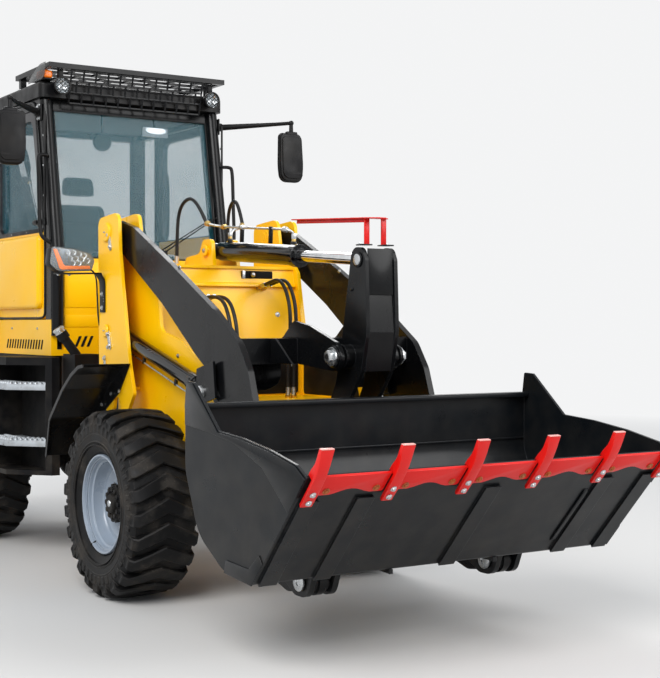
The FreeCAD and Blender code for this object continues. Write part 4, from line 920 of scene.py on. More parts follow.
for profile, half, bevel in ((ridge, 0.470, 0.003), (foot, 0.465, 0.002)):
    outline = [(crossFace(z) + out + 0.0006, z) for z, out in profile]
    frameParts.append((slabPart(outline, -half, half, "XZ", bevel), 0))
# black plates across the front and on the inner sides, which make that area dark
blackFrontPlate = slabPart([(-0.440, 1.112, 0.02), (0.440, 1.112, 0.02), (0.440, 1.306, 0.02), (-0.440, 1.306, 0.02)],
                 -0.1278, -0.1215, "YZ", 0.0015)
frameParts.append((blackFrontPlate, 4))
for sign in (1, -1):
    blackSidePlate = slabPart([(-0.105, 1.108, 0.02), (0.520, 1.108, 0.02), (0.455, 1.285, 0.03),
                      (-0.105, 1.330, 0.02)], sign * 0.4690, sign * 0.4727, "XZ", 0.001)
    frameParts.append((blackSidePlate, 4))
for y in (-0.40, -0.13, 0.13, 0.40):
    for z in (1.135, 1.285):
        frameParts.append((boltPart((-0.1215, y, z), (1, 0, 0), 0.009), 1))
for z, low, high, number in ((1.845, 0.10, 0.32, 2), (1.845, 0.105, 0.125, 1)):
    face = crossFace(z) + (0.001 if number == 2 else 0.006)
    frameParts.append((blockPart((face, low, z - 0.024), (face + 0.005, high, z + 0.024), 0.002), number))
frameParts.append((ballPart((crossFace(1.845) + 0.018, 0.175, 1.845), 0.015), 1))
for y in (-0.150, -0.190, 0.210, 0.250):
    z = 1.690 if y < 0 else 1.765
    face = crossFace(z)
    frameParts += [
        (rodPart((face, y, z), (face + 0.016, y, z + 0.003), 0.0185, sides=6, bevel=0.0015), 3),
        (rodPart((face + 0.014, y, z + 0.003), (face + 0.058, y, z + 0.012), 0.0145), 3),
    ]
    piece = rodPart((face + 0.056, y, z + 0.012), (face + 0.094, y, z + 0.019), 0.0140, 0.0125)
    frameParts.append((piece, 1))
    x, across = (0.160, y - 0.010) if y < 0 else (0.140, y)
    frameParts += [
        (rodPart((x, across, 1.1003), (x, across, 1.120), 0.0185, sides=6, bevel=0.0015), 3),
        (rodPart((x, across, 1.118), (x, across, 1.165), 0.0145, 0.013), 1),
    ]
for y in (-0.18, 0.18):
    frameParts += [
        (rodPart((-0.56, y, 1.8985), (-0.56, y, 1.918), 0.0185, sides=6, bevel=0.0015), 3),
        (rodPart((-0.56, y, 1.916), (-0.56, y, 1.965), 0.0145, 0.013), 1),
    ]
for y in (-0.245, 0.33):
    frameParts.append((boltPart((crossFace(1.60), y, 1.600), (1, 0, 0.2), 0.012), 1))
addPiece("frontFrameTrim", "front_frame", [yellowPaint, zincSteel, matBlack, brassZinc, framePaint],
         frameParts)
y = 0.4715
frameWelds = [((-0.244, y, 1.875), (-0.127, y, 1.305)), ((-0.126, y, 1.30), (-0.126, y, 1.104)),
              ((-0.10, y, 1.1025), (0.56, y, 1.1025))]
frameWelds += [((-0.60, y, 1.900), (-0.245, y, 1.900)) for y in (0.0685, 0.0965)]
addWelds("frontFrameWelds", "front_frame", yellowPaint, routesBothSides(*frameWelds), 0.0035)


# hoses: four stay on the front frame, two bend to the tilt cylinder
def hosePoints(y, first):
    if first:
        start, side = crossFace(1.690) + 0.0003, y - 0.020
        return [(start, y, 1.690), (start + 0.098, y, 1.710), (0.090, y - 0.010, 1.690), (0.190, side, 1.570),
                (0.215, side, 1.430), (0.160, y - 0.010, 1.260), (0.160, y - 0.010, 1.1003)]
    start = crossFace(1.765) + 0.0003
    return [(start, y, 1.765), (start + 0.098, y, 1.785), (0.050, y, 1.820), (0.150, y, 1.700),
            (0.175, y, 1.540), (0.140, y, 1.330), (0.140, y, 1.1003)]


frameHoses = addTubes("frameHoses", "front_frame", hoseRubber, tubeSize["hose"],
                      [hosePoints(-0.150, True), hosePoints(-0.190, True), hosePoints(0.210, False),
                       hosePoints(0.250, False)])
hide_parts("hydraulic_hoses")


# a tube as a mesh, with rings close together, run from one body to the next
def addBendingHose(name, route, bodies, rings=12):
    drawn = addTubes("drawnHose", bodies[0], hoseRubber, tubeSize["hose"], [route])
    drawn.data.resolution_u = rings
    bpy.context.view_layer.update()
    mesh = bpy.data.meshes.new_from_object(drawn.evaluated_get(bpy.context.evaluated_depsgraph_get()))
    bpy.data.objects.remove(drawn)
    mesh.name = name
    mesh.shade_smooth()
    hose = bpy.data.objects.new(name, mesh)
    scene.collection.objects.link(hose)
    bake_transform(hose)


tiltHose = [(-0.560, 0.180, 1.8983), (-0.560, 0.180, 2.060), (-0.545, 0.174, 2.260), (-0.430, 0.156, 2.330),
            (-0.330, 0.138, 2.260), (-0.270, 0.126, 2.162)]
for route, name in zip(routesBothSides(tiltHose), ("Left", "Right")):
    addBendingHose("tiltHose" + name, route, ("front_frame", "tilt_barrel"))
print("front frame and hoses made")


# loader arms, rocker, level indicator and bucket link
loaderArm = {"rockerPin": (1.280, 0.200, 1.375), "liftPin": (0.600, 0.6055, 1.175)}
armParts = []
for sign in (1, -1):
    x, reach, z = loaderArm["rockerPin"]
    armParts += [
        (turnedPart([(0.0, 0.0), (0.006, 0.0), (0.006, 0.050), (0.002, 0.056), (-0.006, 0.056)],
                    (x, sign * reach, z), (0, sign, 0), 36, False), 0),
        (boltPart((x, sign * (reach + 0.006), z), (0, sign, 0), 0.036), 1),
        (turnedPart([(0.0, 0.0), (0.004, 0.0), (0.004, 0.013), (0.0, 0.016)],
                    (x, sign * (reach + 0.036), z), (0, sign, 0), 20, False), 2),
    ]
    x, reach, z = loaderArm["liftPin"]
    armParts += [
        (turnedPart([(0.0, 0.018), (0.012, 0.020), (0.015, 0.026), (0.013, 0.036), (0.0, 0.038)],
                    (x, sign * reach, z), (0, sign, 0), 32, False), 1),
        (turnedPart([(0.0, 0.0), (0.011, 0.0), (0.009, 0.012), (0.008, 0.019), (0.0, 0.019)],
                    (x, sign * reach, z), (0, sign, 0), 24, False), 3),
        (turnedPart([(0.0, 0.0), (0.006, 0.0), (0.008, 0.020), (0.006, 0.030), (0.0, 0.032)],
                    (x, sign * 0.5045, z), (0, -sign, 0), 24, False), 1),
    ]
    for y0, y1 in ((0.5735, 0.5785), (0.5320, 0.5365)):
        for x, z in ((1.02, 0.72), (1.30, 0.42)):
            low, high = (x - 0.030, sign * y0, z - 0.012), (x + 0.030, sign * y1, z + 0.012)
            armParts.append((blockPart(low, high, 0.002), 0))
    for gusset in ([(0.905, 1.466), (0.905, 1.335), (1.130, 1.335), (0.955, 1.466)],
                   [(0.715, 1.462), (0.660, 1.462), (0.715, 1.345)]):
        armParts.append((slabPart(gusset, sign * 0.340, sign * 0.352, "XZ", 0.002), 0))
    armParts += [
        (boltPart((0.20, sign * 0.5375, 1.86), (0, -sign, 0), 0.009), 1),
        (rodPart((1.680, sign * 0.511, 0.335), (1.680, sign * 0.508, 0.335), 0.052, sides=32), 0),
    ]
# black plates under the cross beam, which make the space below it dark
for sign in (1, -1):
    blackUnderBeamPlate = slabPart([(sign * 0.195, 1.3300), (sign * 0.520, 1.3300), (sign * 0.520, 1.185, 0.03),
                      (sign * 0.250, 1.185, 0.05), (sign * 0.195, 1.240, 0.03)], 0.742, 0.750, "YZ", 0.002)
    armParts.append((blackUnderBeamPlate, 0))
addPiece("loaderArmTrim", "loader_arms", [blackPaint, zincSteel, matBlack, redPaint], armParts)
y = 0.5355
armWelds = [((0.719, y, 1.335), (0.719, y, 1.462)), ((0.901, y, 1.335), (0.901, y, 1.462)),
            ((0.725, y, 1.468), (0.895, y, 1.468)), ((0.725, y, 1.328), (0.895, y, 1.328))]
for y in (0.158, 0.184):
    armWelds += [((0.745, y, 1.468), (0.895, y, 1.468)), ((0.902, y, 1.462), (0.902, y, 1.340))]
addWelds("loaderArmWelds", "loader_arms", blackPaint, routesBothSides(*armWelds))

rockerParts = []
for sign in (1, -1):
    for x, z in ((1.360, 1.870), (0.980, 0.840)):
        disc = turnedPart([(0.0, 0.0), (0.005, 0.0), (0.006, 0.025), (0.004, 0.029), (0.0, 0.030)],
                          (x, sign * 0.1062, z), (0, sign, 0), 32, False)
        rockerParts += [
            (disc, 1),
            (rodPart((x, sign * 0.1004, z), (x, sign * 0.1065, z), 0.040, sides=32, bevel=0.001), 0),
        ]
    rockerParts += [
        (boltPart((1.305, sign * 0.1004, 1.720), (0, sign, 0), 0.008), 0),
        (blockPart((1.3655, sign * 0.036, 1.947), (1.3715, sign * 0.068, 2.0805), 0.0015), 3),
        (blockPart((1.336, sign * 0.036, 1.9425), (1.398, sign * 0.098, 1.9495), 0.0015), 0),
        (boltPart((1.352, sign * 0.082, 1.9495), (0, 0, 1), 0.0085), 1),
    ]
# the level bar runs back beside the middle, so the rod can swing up past it
indicator = {"hinge": 1.368, "height": 2.083, "lean": 0.050}
lean = Matrix.Rotation(indicator["lean"], 4, "Y") @ Matrix.Translation((-indicator["hinge"], 0, 0))
tip = Matrix.Translation((indicator["hinge"], 0, indicator["height"])) @ lean
for outline, low, high in (
        ([(0.660, -0.078), (0.660, -0.036), (1.352, -0.036), (1.352, 0.068), (1.388, 0.068), (1.388, 0.0),
          (1.470, 0.0), (1.470, -0.044), (1.388, -0.078)], -0.003, 0.003),
        ([(0.690, -0.060), (0.690, -0.054), (1.352, -0.054), (1.352, -0.060)], -0.022, -0.003)):
    bar = slabPart(outline, low, high, "XY", 0.001)
    bar.transform(tip)
    rockerParts.append((bar, 3))
front = slabPart([(1.4210, 1.690), (1.4270, 1.690), (1.4165, 1.926), (1.4105, 1.926)], -0.0775, 0.0775,
                 "XZ", 0.001)
rockerParts += [
    (front, 0),
    (slabPart([(1.335, 1.698), (1.4195, 1.698), (1.4215, 1.690), (1.335, 1.690)], -0.078, 0.078, "XZ",
              0.001), 0),
]
addPiece("rockerTrim", "rocker", [blackPaint, zincSteel, matBlack, redPaint], rockerParts)
y = 0.0775
rockerWelds = routesBothSides([(1.351, y, 1.70), (1.380, y, 1.48)], [(1.380, y, 1.48), (1.367, y, 1.31)])
addWelds("rockerWelds", "rocker", blackPaint, rockerWelds, 0.004)
linkParts = []
for sign in (1, -1):
    linkParts.append(slabPart([(1.300, 0.492), (1.318, 0.506), (1.090, 0.762), (1.072, 0.748)], sign * 0.0402,
                              sign * 0.046, "XZ", 0.001))
addPiece("bucketLinkRibs", "bucket_link", [blackPaint], linkParts)
print("arms and rocker made")


# cylinders: gland, bands, hard lines and port fittings
# from (along the cylinder, across, up from its axis) to the machine
def ramFrame(base, eye, y):
    run = Vector((eye[0] - base[0], 0, eye[1] - base[1])).normalized()
    return Matrix(((run.x, 0, -run.z, base[0]), (0, 1, 0, y), (run.z, 0, run.x, base[1]), (0, 0, 0, 1)))


# gland ring with slots, dust seal, bands and the bosses at both ports
def ramParts(ram):
    radius, length = ram["radius"], ram["length"]
    ring = [(0.0, ram["rod"] + 0.004), (0.0, radius + 0.001), (0.004, radius + 0.0075),
            (0.046, radius + 0.0075), (0.050, radius + 0.003), (0.050, ram["rod"] + 0.012),
            (0.056, ram["rod"] + 0.010), (0.056, ram["rod"] + 0.0012)]
    parts = [(turnedPart(ring, (length - 0.050, 0, 0), (1, 0, 0), 36), 0)]
    for k in range(6):
        angle = math.tau * k / 6
        out = Vector((0, math.sin(angle), math.cos(angle)))
        centre = Vector((length - 0.020, 0, 0)) + out * (radius + 0.006)
        parts.append((rodPart(centre - out * 0.004, centre + out * 0.0035, 0.006, sides=12), 2))
    for along in ram["bands"]:
        band = [(-0.011, radius + 0.0004), (-0.011, radius + 0.0034), (0.011, radius + 0.0034),
                (0.011, radius + 0.0004)]
        parts.append((turnedPart(band, (along, 0, 0), (1, 0, 0), 36), 0))
    for along in ram["ports"]:
        parts += [
            (rodPart((along, 0, ram["side"] * (radius - 0.004)), (along, 0, ram["side"] * (radius + 0.020)),
                     0.016, bevel=0.002), 0),
            (rodPart((along, 0, ram["side"] * (radius + 0.018)), (along, 0, ram["side"] * (radius + 0.034)),
                     0.0135, sides=6, bevel=0.001), 3),
        ]
    return parts


# trim for one body's barrels, with a bent hard line along each
def addRamTrim(name, body, ram, ys):
    parts, routes = [], []
    for y in ys:
        place = ramFrame(ram["base"], ram["eye"], y)
        for part, number in ramParts(ram):
            part.transform(place)
            parts.append((part, number))
        if ram["line"]:
            side, low = ram["side"], ram["line"]
            start, end = ram["ports"][0], ram["ports"][-1]
            route = [(start, 0, side * (ram["radius"] + 0.03)), (start, 0, side * low),
                     (start + 0.03, 0, side * low), (start + 0.2, 0, side * low),
                     (end - 0.2, 0, side * low), (end - 0.03, 0, side * low), (end, 0, side * low),
                     (end, 0, side * (ram["radius"] + 0.03))]
            routes.append([tuple(place @ Vector(p)) for p in route])
            for along in ram["clips"]:
                clip = blockPart((along - 0.009, -0.009, side * (ram["radius"] + 0.002)),
                                 (along + 0.009, 0.009, side * (low + 0.007)), 0.002)
                clip.transform(place)
                parts.append((clip, 0))
    addPiece(name + "Trim", body, [barrelPaint, zincSteel, matBlack, brassZinc], parts)
    if routes:
        addTubes(name + "Lines", body, zincSteel, tubeSize["hardLine"], routes)


liftRam = {"base": (-0.620, 1.500), "eye": (0.600, 1.175), "radius": 0.045, "rod": 0.028, "length": 1.120,
           "bands": (), "clips": (0.42, 0.86), "ports": (0.13, 1.035), "side": -1, "line": 0.080}
addRamTrim("liftRam", "lift_barrels", liftRam, (0.555, -0.555))
tiltRam = {"base": (-0.320, 1.990), "eye": (1.360, 1.870), "radius": 0.058, "rod": 0.0315, "length": 0.955,
           "bands": (), "clips": (), "ports": (0.12, 0.875), "side": 1, "line": 0}
addRamTrim("tiltRam", "tilt_barrel", tiltRam, (0.0,))
tiltPlace = ramFrame(tiltRam["base"], tiltRam["eye"], 0.0)
tiltLines = [[(0.038, -0.126, 0.168), (0.075, -0.105, 0.158), (0.130, -0.060, 0.150), (0.30, -0.050, 0.148),
              (0.60, -0.050, 0.146), (0.84, -0.045, 0.144), (0.875, -0.030, 0.140), (0.875, -0.002, 0.125),
              (0.875, 0.0, 0.090)],
             [(0.038, 0.126, 0.168), (0.060, 0.110, 0.150), (0.100, 0.060, 0.140), (0.120, 0.01, 0.130),
              (0.120, 0.0, 0.090)]]
addTubes("tiltRamLines", "tilt_barrel", zincSteel, tubeSize["tiltLine"],
         [[tuple(tiltPlace @ Vector(p)) for p in route] for route in tiltLines])
tiltNuts = (
    ((0.036, -0.126, 0.169), (0.060, -0.113, 0.163), 0.017, 1),
    ((0.128, -0.061, 0.150), (0.165, -0.056, 0.150), 0.016, 1),
    ((0.34, -0.050, 0.148), (0.375, -0.050, 0.148), 0.016, 0),
    ((0.83, -0.046, 0.145), (0.862, -0.036, 0.142), 0.016, 0),
    ((0.875, 0, 0.092), (0.875, 0, 0.122), 0.016, 0),
    ((0.036, 0.126, 0.169), (0.058, 0.112, 0.152), 0.017, 1),
    ((0.120, 0, 0.092), (0.120, 0, 0.115), 0.016, 0),
)
tiltParts = []
for start, end, radius, number in tiltNuts:
    fitting = rodPart(start, end, radius, sides=6, bevel=0.0015)
    fitting.transform(tiltPlace)
    tiltParts.append((fitting, number))
for along in (0.36, 0.70):
    clip = blockPart((along - 0.010, -0.060, 0.061), (along + 0.010, -0.040, 0.158), 0.002)
    clip.transform(tiltPlace)
    tiltParts.append((clip, 2))
addPiece("tiltRamFittings", "tilt_barrel", [zincSteel, brassZinc, blackPaint], tiltParts)
print("cylinders made")


# headlamps on their bent brackets
headlamp = {
    "outline": [(0.927, 2.014, 0.015), (0.770, 2.008, 0.03), (0.668, 1.978, 0.015), (0.641, 1.932, 0.012),
                (0.662, 1.869, 0.015), (0.885, 1.859, 0.02), (0.942, 1.905, 0.015)],
    "middle": (0.790, 1.936),
    "bowlX": -0.7660,
    "bowls": [(0.820, 1.975), (0.782, 1.978), (0.744, 1.970), (0.803, 1.942), (0.765, 1.942), (0.727, 1.938),
              (0.692, 1.930), (0.712, 1.962), (0.786, 1.914), (0.748, 1.914)],
}


# the lamp's face outline drawn in by an inset, between two places along X
def lampShape(inset, low, high, bevel):
    return slabPart(drawnIn(headlamp["outline"], headlamp["middle"], inset), low, high, "YZ", bevel)


lampParts = [(lampShape(0.004, -0.850, -0.774, 0.008), 0), (lampShape(0.035, -0.868, -0.848, 0.006), 0),
             (lampShape(0.0, -0.776, -0.766, 0.003), 0), (lampShape(0.012, -0.7685, -0.7655, 0.001), 5)]
strip = [(0.912, 1.998), (0.890, 1.999), (0.846, 1.905), (0.834, 1.897), (0.676, 1.900), (0.672, 1.881),
         (0.858, 1.873), (0.872, 1.880)]
lampParts.append((slabPart(strip, -0.7655, -0.7600, "YZ", 0.0015), 3))
for y, z in headlamp["bowls"]:
    at = (headlamp["bowlX"], y, z)
    bowl = turnedPart([(0.006, 0.0165), (0.008, 0.0175), (0.004, 0.0150), (-0.002, 0.008), (-0.003, 0.0)], at,
                      (1, 0, 0), 16, False)
    lampParts += [
        (bowl, 2),
        (turnedPart([(0.0035, 0.0), (0.002, 0.004), (-0.002, 0.0055)], at, (1, 0, 0), 10, False), 4),
    ]
arm = [(-0.852, 0.880, 0.01), (-0.775, 0.880, 0.01), (-0.630, 0.715, 0.03), (-0.630, 0.655), (-0.705, 0.655),
       (-0.852, 0.770, 0.03)]
lampParts.append((slabPart(arm, 1.8465, 1.8545, "XY", 0.002), 0))
leg = [(0.655, 1.8545), (0.700, 1.8545), (0.700, 1.8465), (0.664, 1.8465), (0.6395, 1.805), (0.6355, 1.785),
       (0.6355, 1.612), (0.6275, 1.612), (0.6275, 1.788), (0.632, 1.812)]
lampParts.append((slabPart(leg, -0.705, -0.630, "YZ", 0.0015), 0))
for z in (1.640, 1.725):
    lampParts.append((boltPart((-0.667, 0.6357, z), (0, 1, 0), 0.0105), 1))
for z in (1.680, 1.696, 1.712):
    lampParts.append((rodPart((-0.645, 0.6357, z), (-0.645, 0.6367, z), 0.003, sides=10), 1))
for x, y in ((-0.81, 0.86), (-0.81, 0.79)):
    lampParts.append((boltPart((x, y, 1.8463), (0, 0, -1), 0.010), 1))
lampFinishes = [blackPlastic, zincSteel, brightReflector, amberLens, clearLens, lampInside]
headlamps = addPiece("headlamps", "front_frame", lampFinishes, bothSides(lampParts))
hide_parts("headlights")
lensParts = bothSides([lampShape(0.004, -0.7640, -0.7500, 0.005)])
lampLenses = addPiece("headlampLenses", "front_frame", [clearLens], lensParts)
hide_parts("headlights")
lampTail = [(-0.850, 0.700, 1.940), (-0.885, 0.690, 1.935), (-0.880, 0.650, 1.890), (-0.760, 0.634, 1.860),
            (-0.748, 0.632, 1.700), (-0.735, 0.632, 1.560), (-0.735, 0.620, 1.520)]
addTubes("headlampCables", "front_frame", hoseRubber, tubeSize["cable"], routesBothSides(lampTail))

# front fender bolts
fenderParts = []
for x, z in ((-0.66, 1.05), (-0.52, 1.12), (-0.64, 0.92), (-0.40, 1.14)):
    fenderParts.append((boltPart((x, 0.6405, z), (0, 1, 0), 0.010), 0))
addPiece("frontFenderBolts", "front_frame", [zincSteel], bothSides(fenderParts))
print("headlamps made")


# cab: corner tubes, gutters, handles, louvres, wiper, windscreen rubber
cab = {"front": -1.450, "lean": 0.200, "waist": 1.980, "top": 3.060}


# front face of the windscreen frame at a height
def screenX(z):
    return cab["front"] - cab["lean"] * max(0.0, z - cab["waist"]) / (cab["top"] - cab["waist"])


y = 0.622
cornerTube = [(-1.444, y, 1.462), (-1.444, y, 1.900), (-1.446, y, 1.985), (screenX(2.10) + 0.004, y, 2.10),
              (screenX(3.045) + 0.004, y, 3.045)]
addTubes("cornerTubes", "rear_frame", blackPaint, tubeSize["corner"], routesBothSides(cornerTube))
y = 0.668
gutterTube = [(screenX(z) - 0.060, y, z) for z in (2.20, 2.6, 2.95)]
gutterTube += [(-1.72, y, 3.035), (-1.86, y, 3.050), (-2.40, y, 3.050), (-2.86, y, 3.045)]
addTubes("gutterTubes", "rear_frame", blackPaint, tubeSize["gutter"], routesBothSides(gutterTube))
frontHandle = [(-1.530, 0.655, 2.662), (-1.522, 0.712, 2.668), (-1.512, 0.728, 2.640), (-1.500, 0.728, 2.400),
               (-1.484, 0.728, 2.160), (-1.470, 0.715, 2.105), (-1.462, 0.655, 2.075)]
rearHandle = [(-2.560, 0.660, 2.70), (-2.560, 0.712, 2.705), (-2.560, 0.722, 2.68), (-2.560, 0.722, 2.25),
              (-2.560, 0.712, 2.215), (-2.560, 0.660, 2.21)]
handleRoutes = routesBothSides(frontHandle, rearHandle)
addTubes("grabHandles", "rear_frame", blackPlastic, tubeSize["handle"], handleRoutes)

skirt = {"front": -1.4497, "slots": 3, "slotStep": 0.042, "louvres": 14, "louvreStep": 0.052, "bars": 9,
         "barStep": 0.028}
panelParts = []
front = skirt["front"]
for low, high in ((1.650, 1.950), (1.520, 1.600)):
    panelParts.append((blockPart((front - 0.002, -0.572, low), (front + 0.0035, 0.572, high), 0.002), 0))
for k in range(skirt["slots"]):
    y = -0.475 + skirt["slotStep"] * k
    slot = slabPart([(y - 0.026, 1.388, 0.004), (y - 0.006, 1.388, 0.004), (y + 0.026, 1.460, 0.004),
                     (y + 0.006, 1.460, 0.004)], front, front + 0.0015, "YZ", 0.0004)
    panelParts += [
        (slot, 1),
        (mirroredPart(slot), 1),
    ]
for sign in (1, -1):
    for k in range(skirt["louvres"]):
        x = -1.615 - skirt["louvreStep"] * k
        slat = slabPart([(x - 0.026, 1.370), (x - 0.002, 1.370), (x + 0.024, 1.434), (x, 1.434)],
                        sign * 0.6652, sign * 0.6668, "XZ", 0.0004)
        panelParts.append((slat, 1))
    panelParts.append((blockPart((-2.94, sign * 0.640, 1.306), (-1.455, sign * 0.668, 1.3285), 0.004), 2))
    for x in (-1.70, -2.20):
        panelParts.append((boltPart((x, sign * 0.6652, 1.51), (0, sign, 0), 0.007), 3))
    for k in range(skirt["bars"]):
        z = 1.05 + skirt["barStep"] * k
        panelParts.append((blockPart((-1.865, sign * 0.6403, z), (-1.675, sign * 0.6443, z + 0.008),
                                     0.0015), 1))
addPiece("cabSkirtTrim", "rear_frame", [yellowPaint, matBlack, framePaint, zincSteel], panelParts)

# wiper: motor spindle, two parallel arms and the blade
wiper = {"pivot": (0.100, 2.030), "blade": (0.560, 2.300), "half": 0.230}
wiperParts = []


def onScreen(y, z, out):
    return (screenX(z) + out, y, z)


for shift in (0.0, 0.045):
    start = (wiper["pivot"][0] + shift, wiper["pivot"][1])
    end = (wiper["blade"][0] - 0.02 + shift, wiper["blade"][1] - 0.02 + shift * 0.3)
    wiperParts += [
        (rodPart(onScreen(*start, 0.030), onScreen(*end, 0.022), 0.0045, 0.0035, 10), 0),
        (rodPart(onScreen(*start, -0.008), onScreen(*start, 0.036), 0.012, 0.009, 20), 0),
        (rodPart(onScreen(*end, 0.012), onScreen(*end, 0.027), 0.006, sides=14), 0),
    ]
wiperParts.append((blockPart(onScreen(0.060, 1.996, -0.002), onScreen(0.185, 2.050, 0.018), 0.006), 0))
low = onScreen(wiper["blade"][0], wiper["blade"][1] - wiper["half"], 0.004)
high = onScreen(wiper["blade"][0] + 0.02, wiper["blade"][1] + wiper["half"], 0.004)
wiperParts += [
    (rodPart(low, high, 0.0055, 0.0045, 8), 1),
    (rodPart(Vector(low) + Vector((0.010, 0, 0.06)), Vector(high) + Vector((0.010, 0, -0.06)), 0.0045,
             sides=8), 0),
]
addPiece("wiper", "rear_frame", [blackPlastic, matBlack], wiperParts)

# rubber round the windscreen
rubber = {"half": 0.571, "low": 1.985, "high": 2.982, "sunk": -0.006}
corners = ((-1, "low"), (1, "low"), (1, "high"), (-1, "high"), (-1, "low"))
rubberRoute = [onScreen(sign * rubber["half"], rubber[end], rubber["sunk"]) for sign, end in corners]
addTubes("screenRubber", "rear_frame", hoseRubber, tubeSize["rubber"], [rubberRoute], False)
print("cab trim made")


# doors: lower bulge, waist strip, handle, rivets and seal
def doorParts():
    bulge = [(-1.600, 1.640, 0.060), (-1.600, 2.140, 0.040), (-2.470, 2.140, 0.040), (-2.470, 1.640, 0.060)]
    panel = slabPart(bulge, 0.6660, 0.7020, "XZ", 0.0)
    face = max(panel.faces, key=lambda f: f.calc_center_median().y)
    bmesh.ops.bevel(panel, geom=list(face.edges), offset=0.030, offset_type="OFFSET", affect="EDGES",
                    segments=5, profile=0.5, clamp_overlap=True, material=-1)
    parts = [
        (panel, 0),
        (blockPart((-2.480, 0.6652, 2.155), (-1.585, 0.6685, 2.183), 0.0015), 1),
    ]
    handle = slabPart([(-1.735, 2.205, 0.008), (-1.735, 2.245, 0.008), (-1.610, 2.245, 0.008),
                       (-1.610, 2.205, 0.008)], 0.6655, 0.6770, "XZ", 0.003)
    parts.append((handle, 1))
    pull = slabPart([(-1.725, 2.212, 0.006), (-1.725, 2.238, 0.006), (-1.650, 2.238, 0.006),
                     (-1.650, 2.212, 0.006)], 0.6840, 0.6930, "XZ", 0.003)
    parts += [
        (pull, 1),
        (rodPart((-1.660, 0.6760, 2.225), (-1.660, 0.6860, 2.225), 0.009, sides=16), 1),
        (rodPart((-1.630, 0.6765, 2.225), (-1.630, 0.6790, 2.225), 0.008, sides=20), 2),
    ]
    for x, z in ((-1.575, 2.60), (-1.575, 2.40), (-1.575, 2.80)):
        parts.append((rodPart((x, 0.6655, z), (x, 0.6710, z), 0.008, 0.006, 16), 2))
    for x in (-1.90, -2.20, -2.46):
        parts.append((rodPart((x, 0.6655, 2.169), (x, 0.6705, 2.169), 0.005, 0.004, 12), 2))
    return parts


for side, name in ((1, "left"), (-1, "right")):
    parts = doorParts()
    if side < 0:
        parts = [(otherSide(part), number) for part, number in parts]
    addPiece("doorTrim_" + name, "door_" + name, [yellowPaint, blackPlastic, zincSteel], parts)
    y = side * 0.6660
    seal = [(-1.556, y, 2.960), (-1.556, y, 2.20), (-1.556, y, 1.66), (-1.560, y, 1.595), (-1.620, y, 1.580),
            (-1.80, y, 1.580), (-2.20, y, 1.580), (-2.44, y, 1.580), (-2.500, y, 1.590), (-2.508, y, 1.65),
            (-2.508, y, 2.20), (-2.508, y, 2.960)]
    addTubes("doorSeal_" + name, "door_" + name, hoseRubber, tubeSize["rubber"], [seal])
print("doors made")


# side steps: silver treads with raised teeth, backing plates
step = {"heights": (1.140, 0.770), "pitch": 0.038, "rows": (0.012, 0.062, 0.112)}


def stepParts():
    parts = []
    corners = (Vector((-1.931, 0.930)), Vector((-1.590, 0.915)), Vector((-1.371, 0.722)))
    for top in step["heights"]:
        plate = slabPart([(-1.925, 0.938, 0.01), (-1.592, 0.923, 0.03), (-1.372, 0.730, 0.01),
                          (-1.372, 0.690), (-1.925, 0.690)], top + 0.0003, top + 0.006, "XY", 0.001)
        skirting = slabPart([(-1.925, 0.938), (-1.592, 0.923), (-1.372, 0.730), (-1.372, 0.726),
                             (-1.594, 0.9185), (-1.925, 0.9335)], top - 0.034, top + 0.004, "XY", 0.001)
        parts += [(plate, 0), (skirting, 0)]
        for start, end in zip(corners, corners[1:]):
            run = end - start
            count = max(2, round(run.length / step["pitch"]))
            for k in range(count):
                spot = start + run * ((k + 0.5) / count)
                for row in step["rows"]:
                    inward = Vector((0, -row)) if start is corners[0] else Vector((-row * 0.66, -row * 0.75))
                    at = spot + inward
                    raised = [(0.0, 0.0145), (0.010, 0.0125), (0.012, 0.010), (0.012, 0.0085), (0.002, 0.006)]
                    parts.append((turnedPart(raised, (at.x, at.y, top + 0.006), (0, 0, 1), 14, False), 0))
        for x, y in ((-1.88, 0.937), (-1.64, 0.926)):
            parts.append((boltPart((x, y, top - 0.022), (0, 1, 0), 0.006), 1))
    parts.append((blockPart((-1.915, 0.694, 0.56), (-1.40, 0.698, 1.29), 0.002), 2))
    return parts


addPiece("stepTreads", "rear_frame", [galvanised, zincSteel, matBlack], bothSides(stepParts()))

# filler cap with ribs round its rim
filler = {"at": (-1.2035, -0.692, 1.481), "along": (-0.10, -0.55, 0.83), "ribs": 16}
along = Vector(filler["along"]).normalized()
capAt = Vector(filler["at"])
ring = [(0.0, 0.0), (0.0, 0.034), (0.004, 0.0375), (0.010, 0.0375), (0.013, 0.033), (0.016, 0.033),
        (0.018, 0.036), (0.036, 0.036), (0.040, 0.031), (0.041, 0.0)]
fillerParts = [turnedPart(ring, capAt, along, 40, False)]
turn = along.to_track_quat("Z", "Y").to_matrix().to_4x4()
for k in range(filler["ribs"]):
    rib = blockPart((0.034, -0.0035, 0.019), (0.0385, 0.0035, 0.035), 0.0008)
    rib.transform(Matrix.Translation(capAt) @ turn @ Matrix.Rotation(math.tau * k / filler["ribs"], 4, "Z"))
    fillerParts.append(rib)
addPiece("fillerCap", "rear_frame", [zincSteel], fillerParts)
print("steps and filler made")


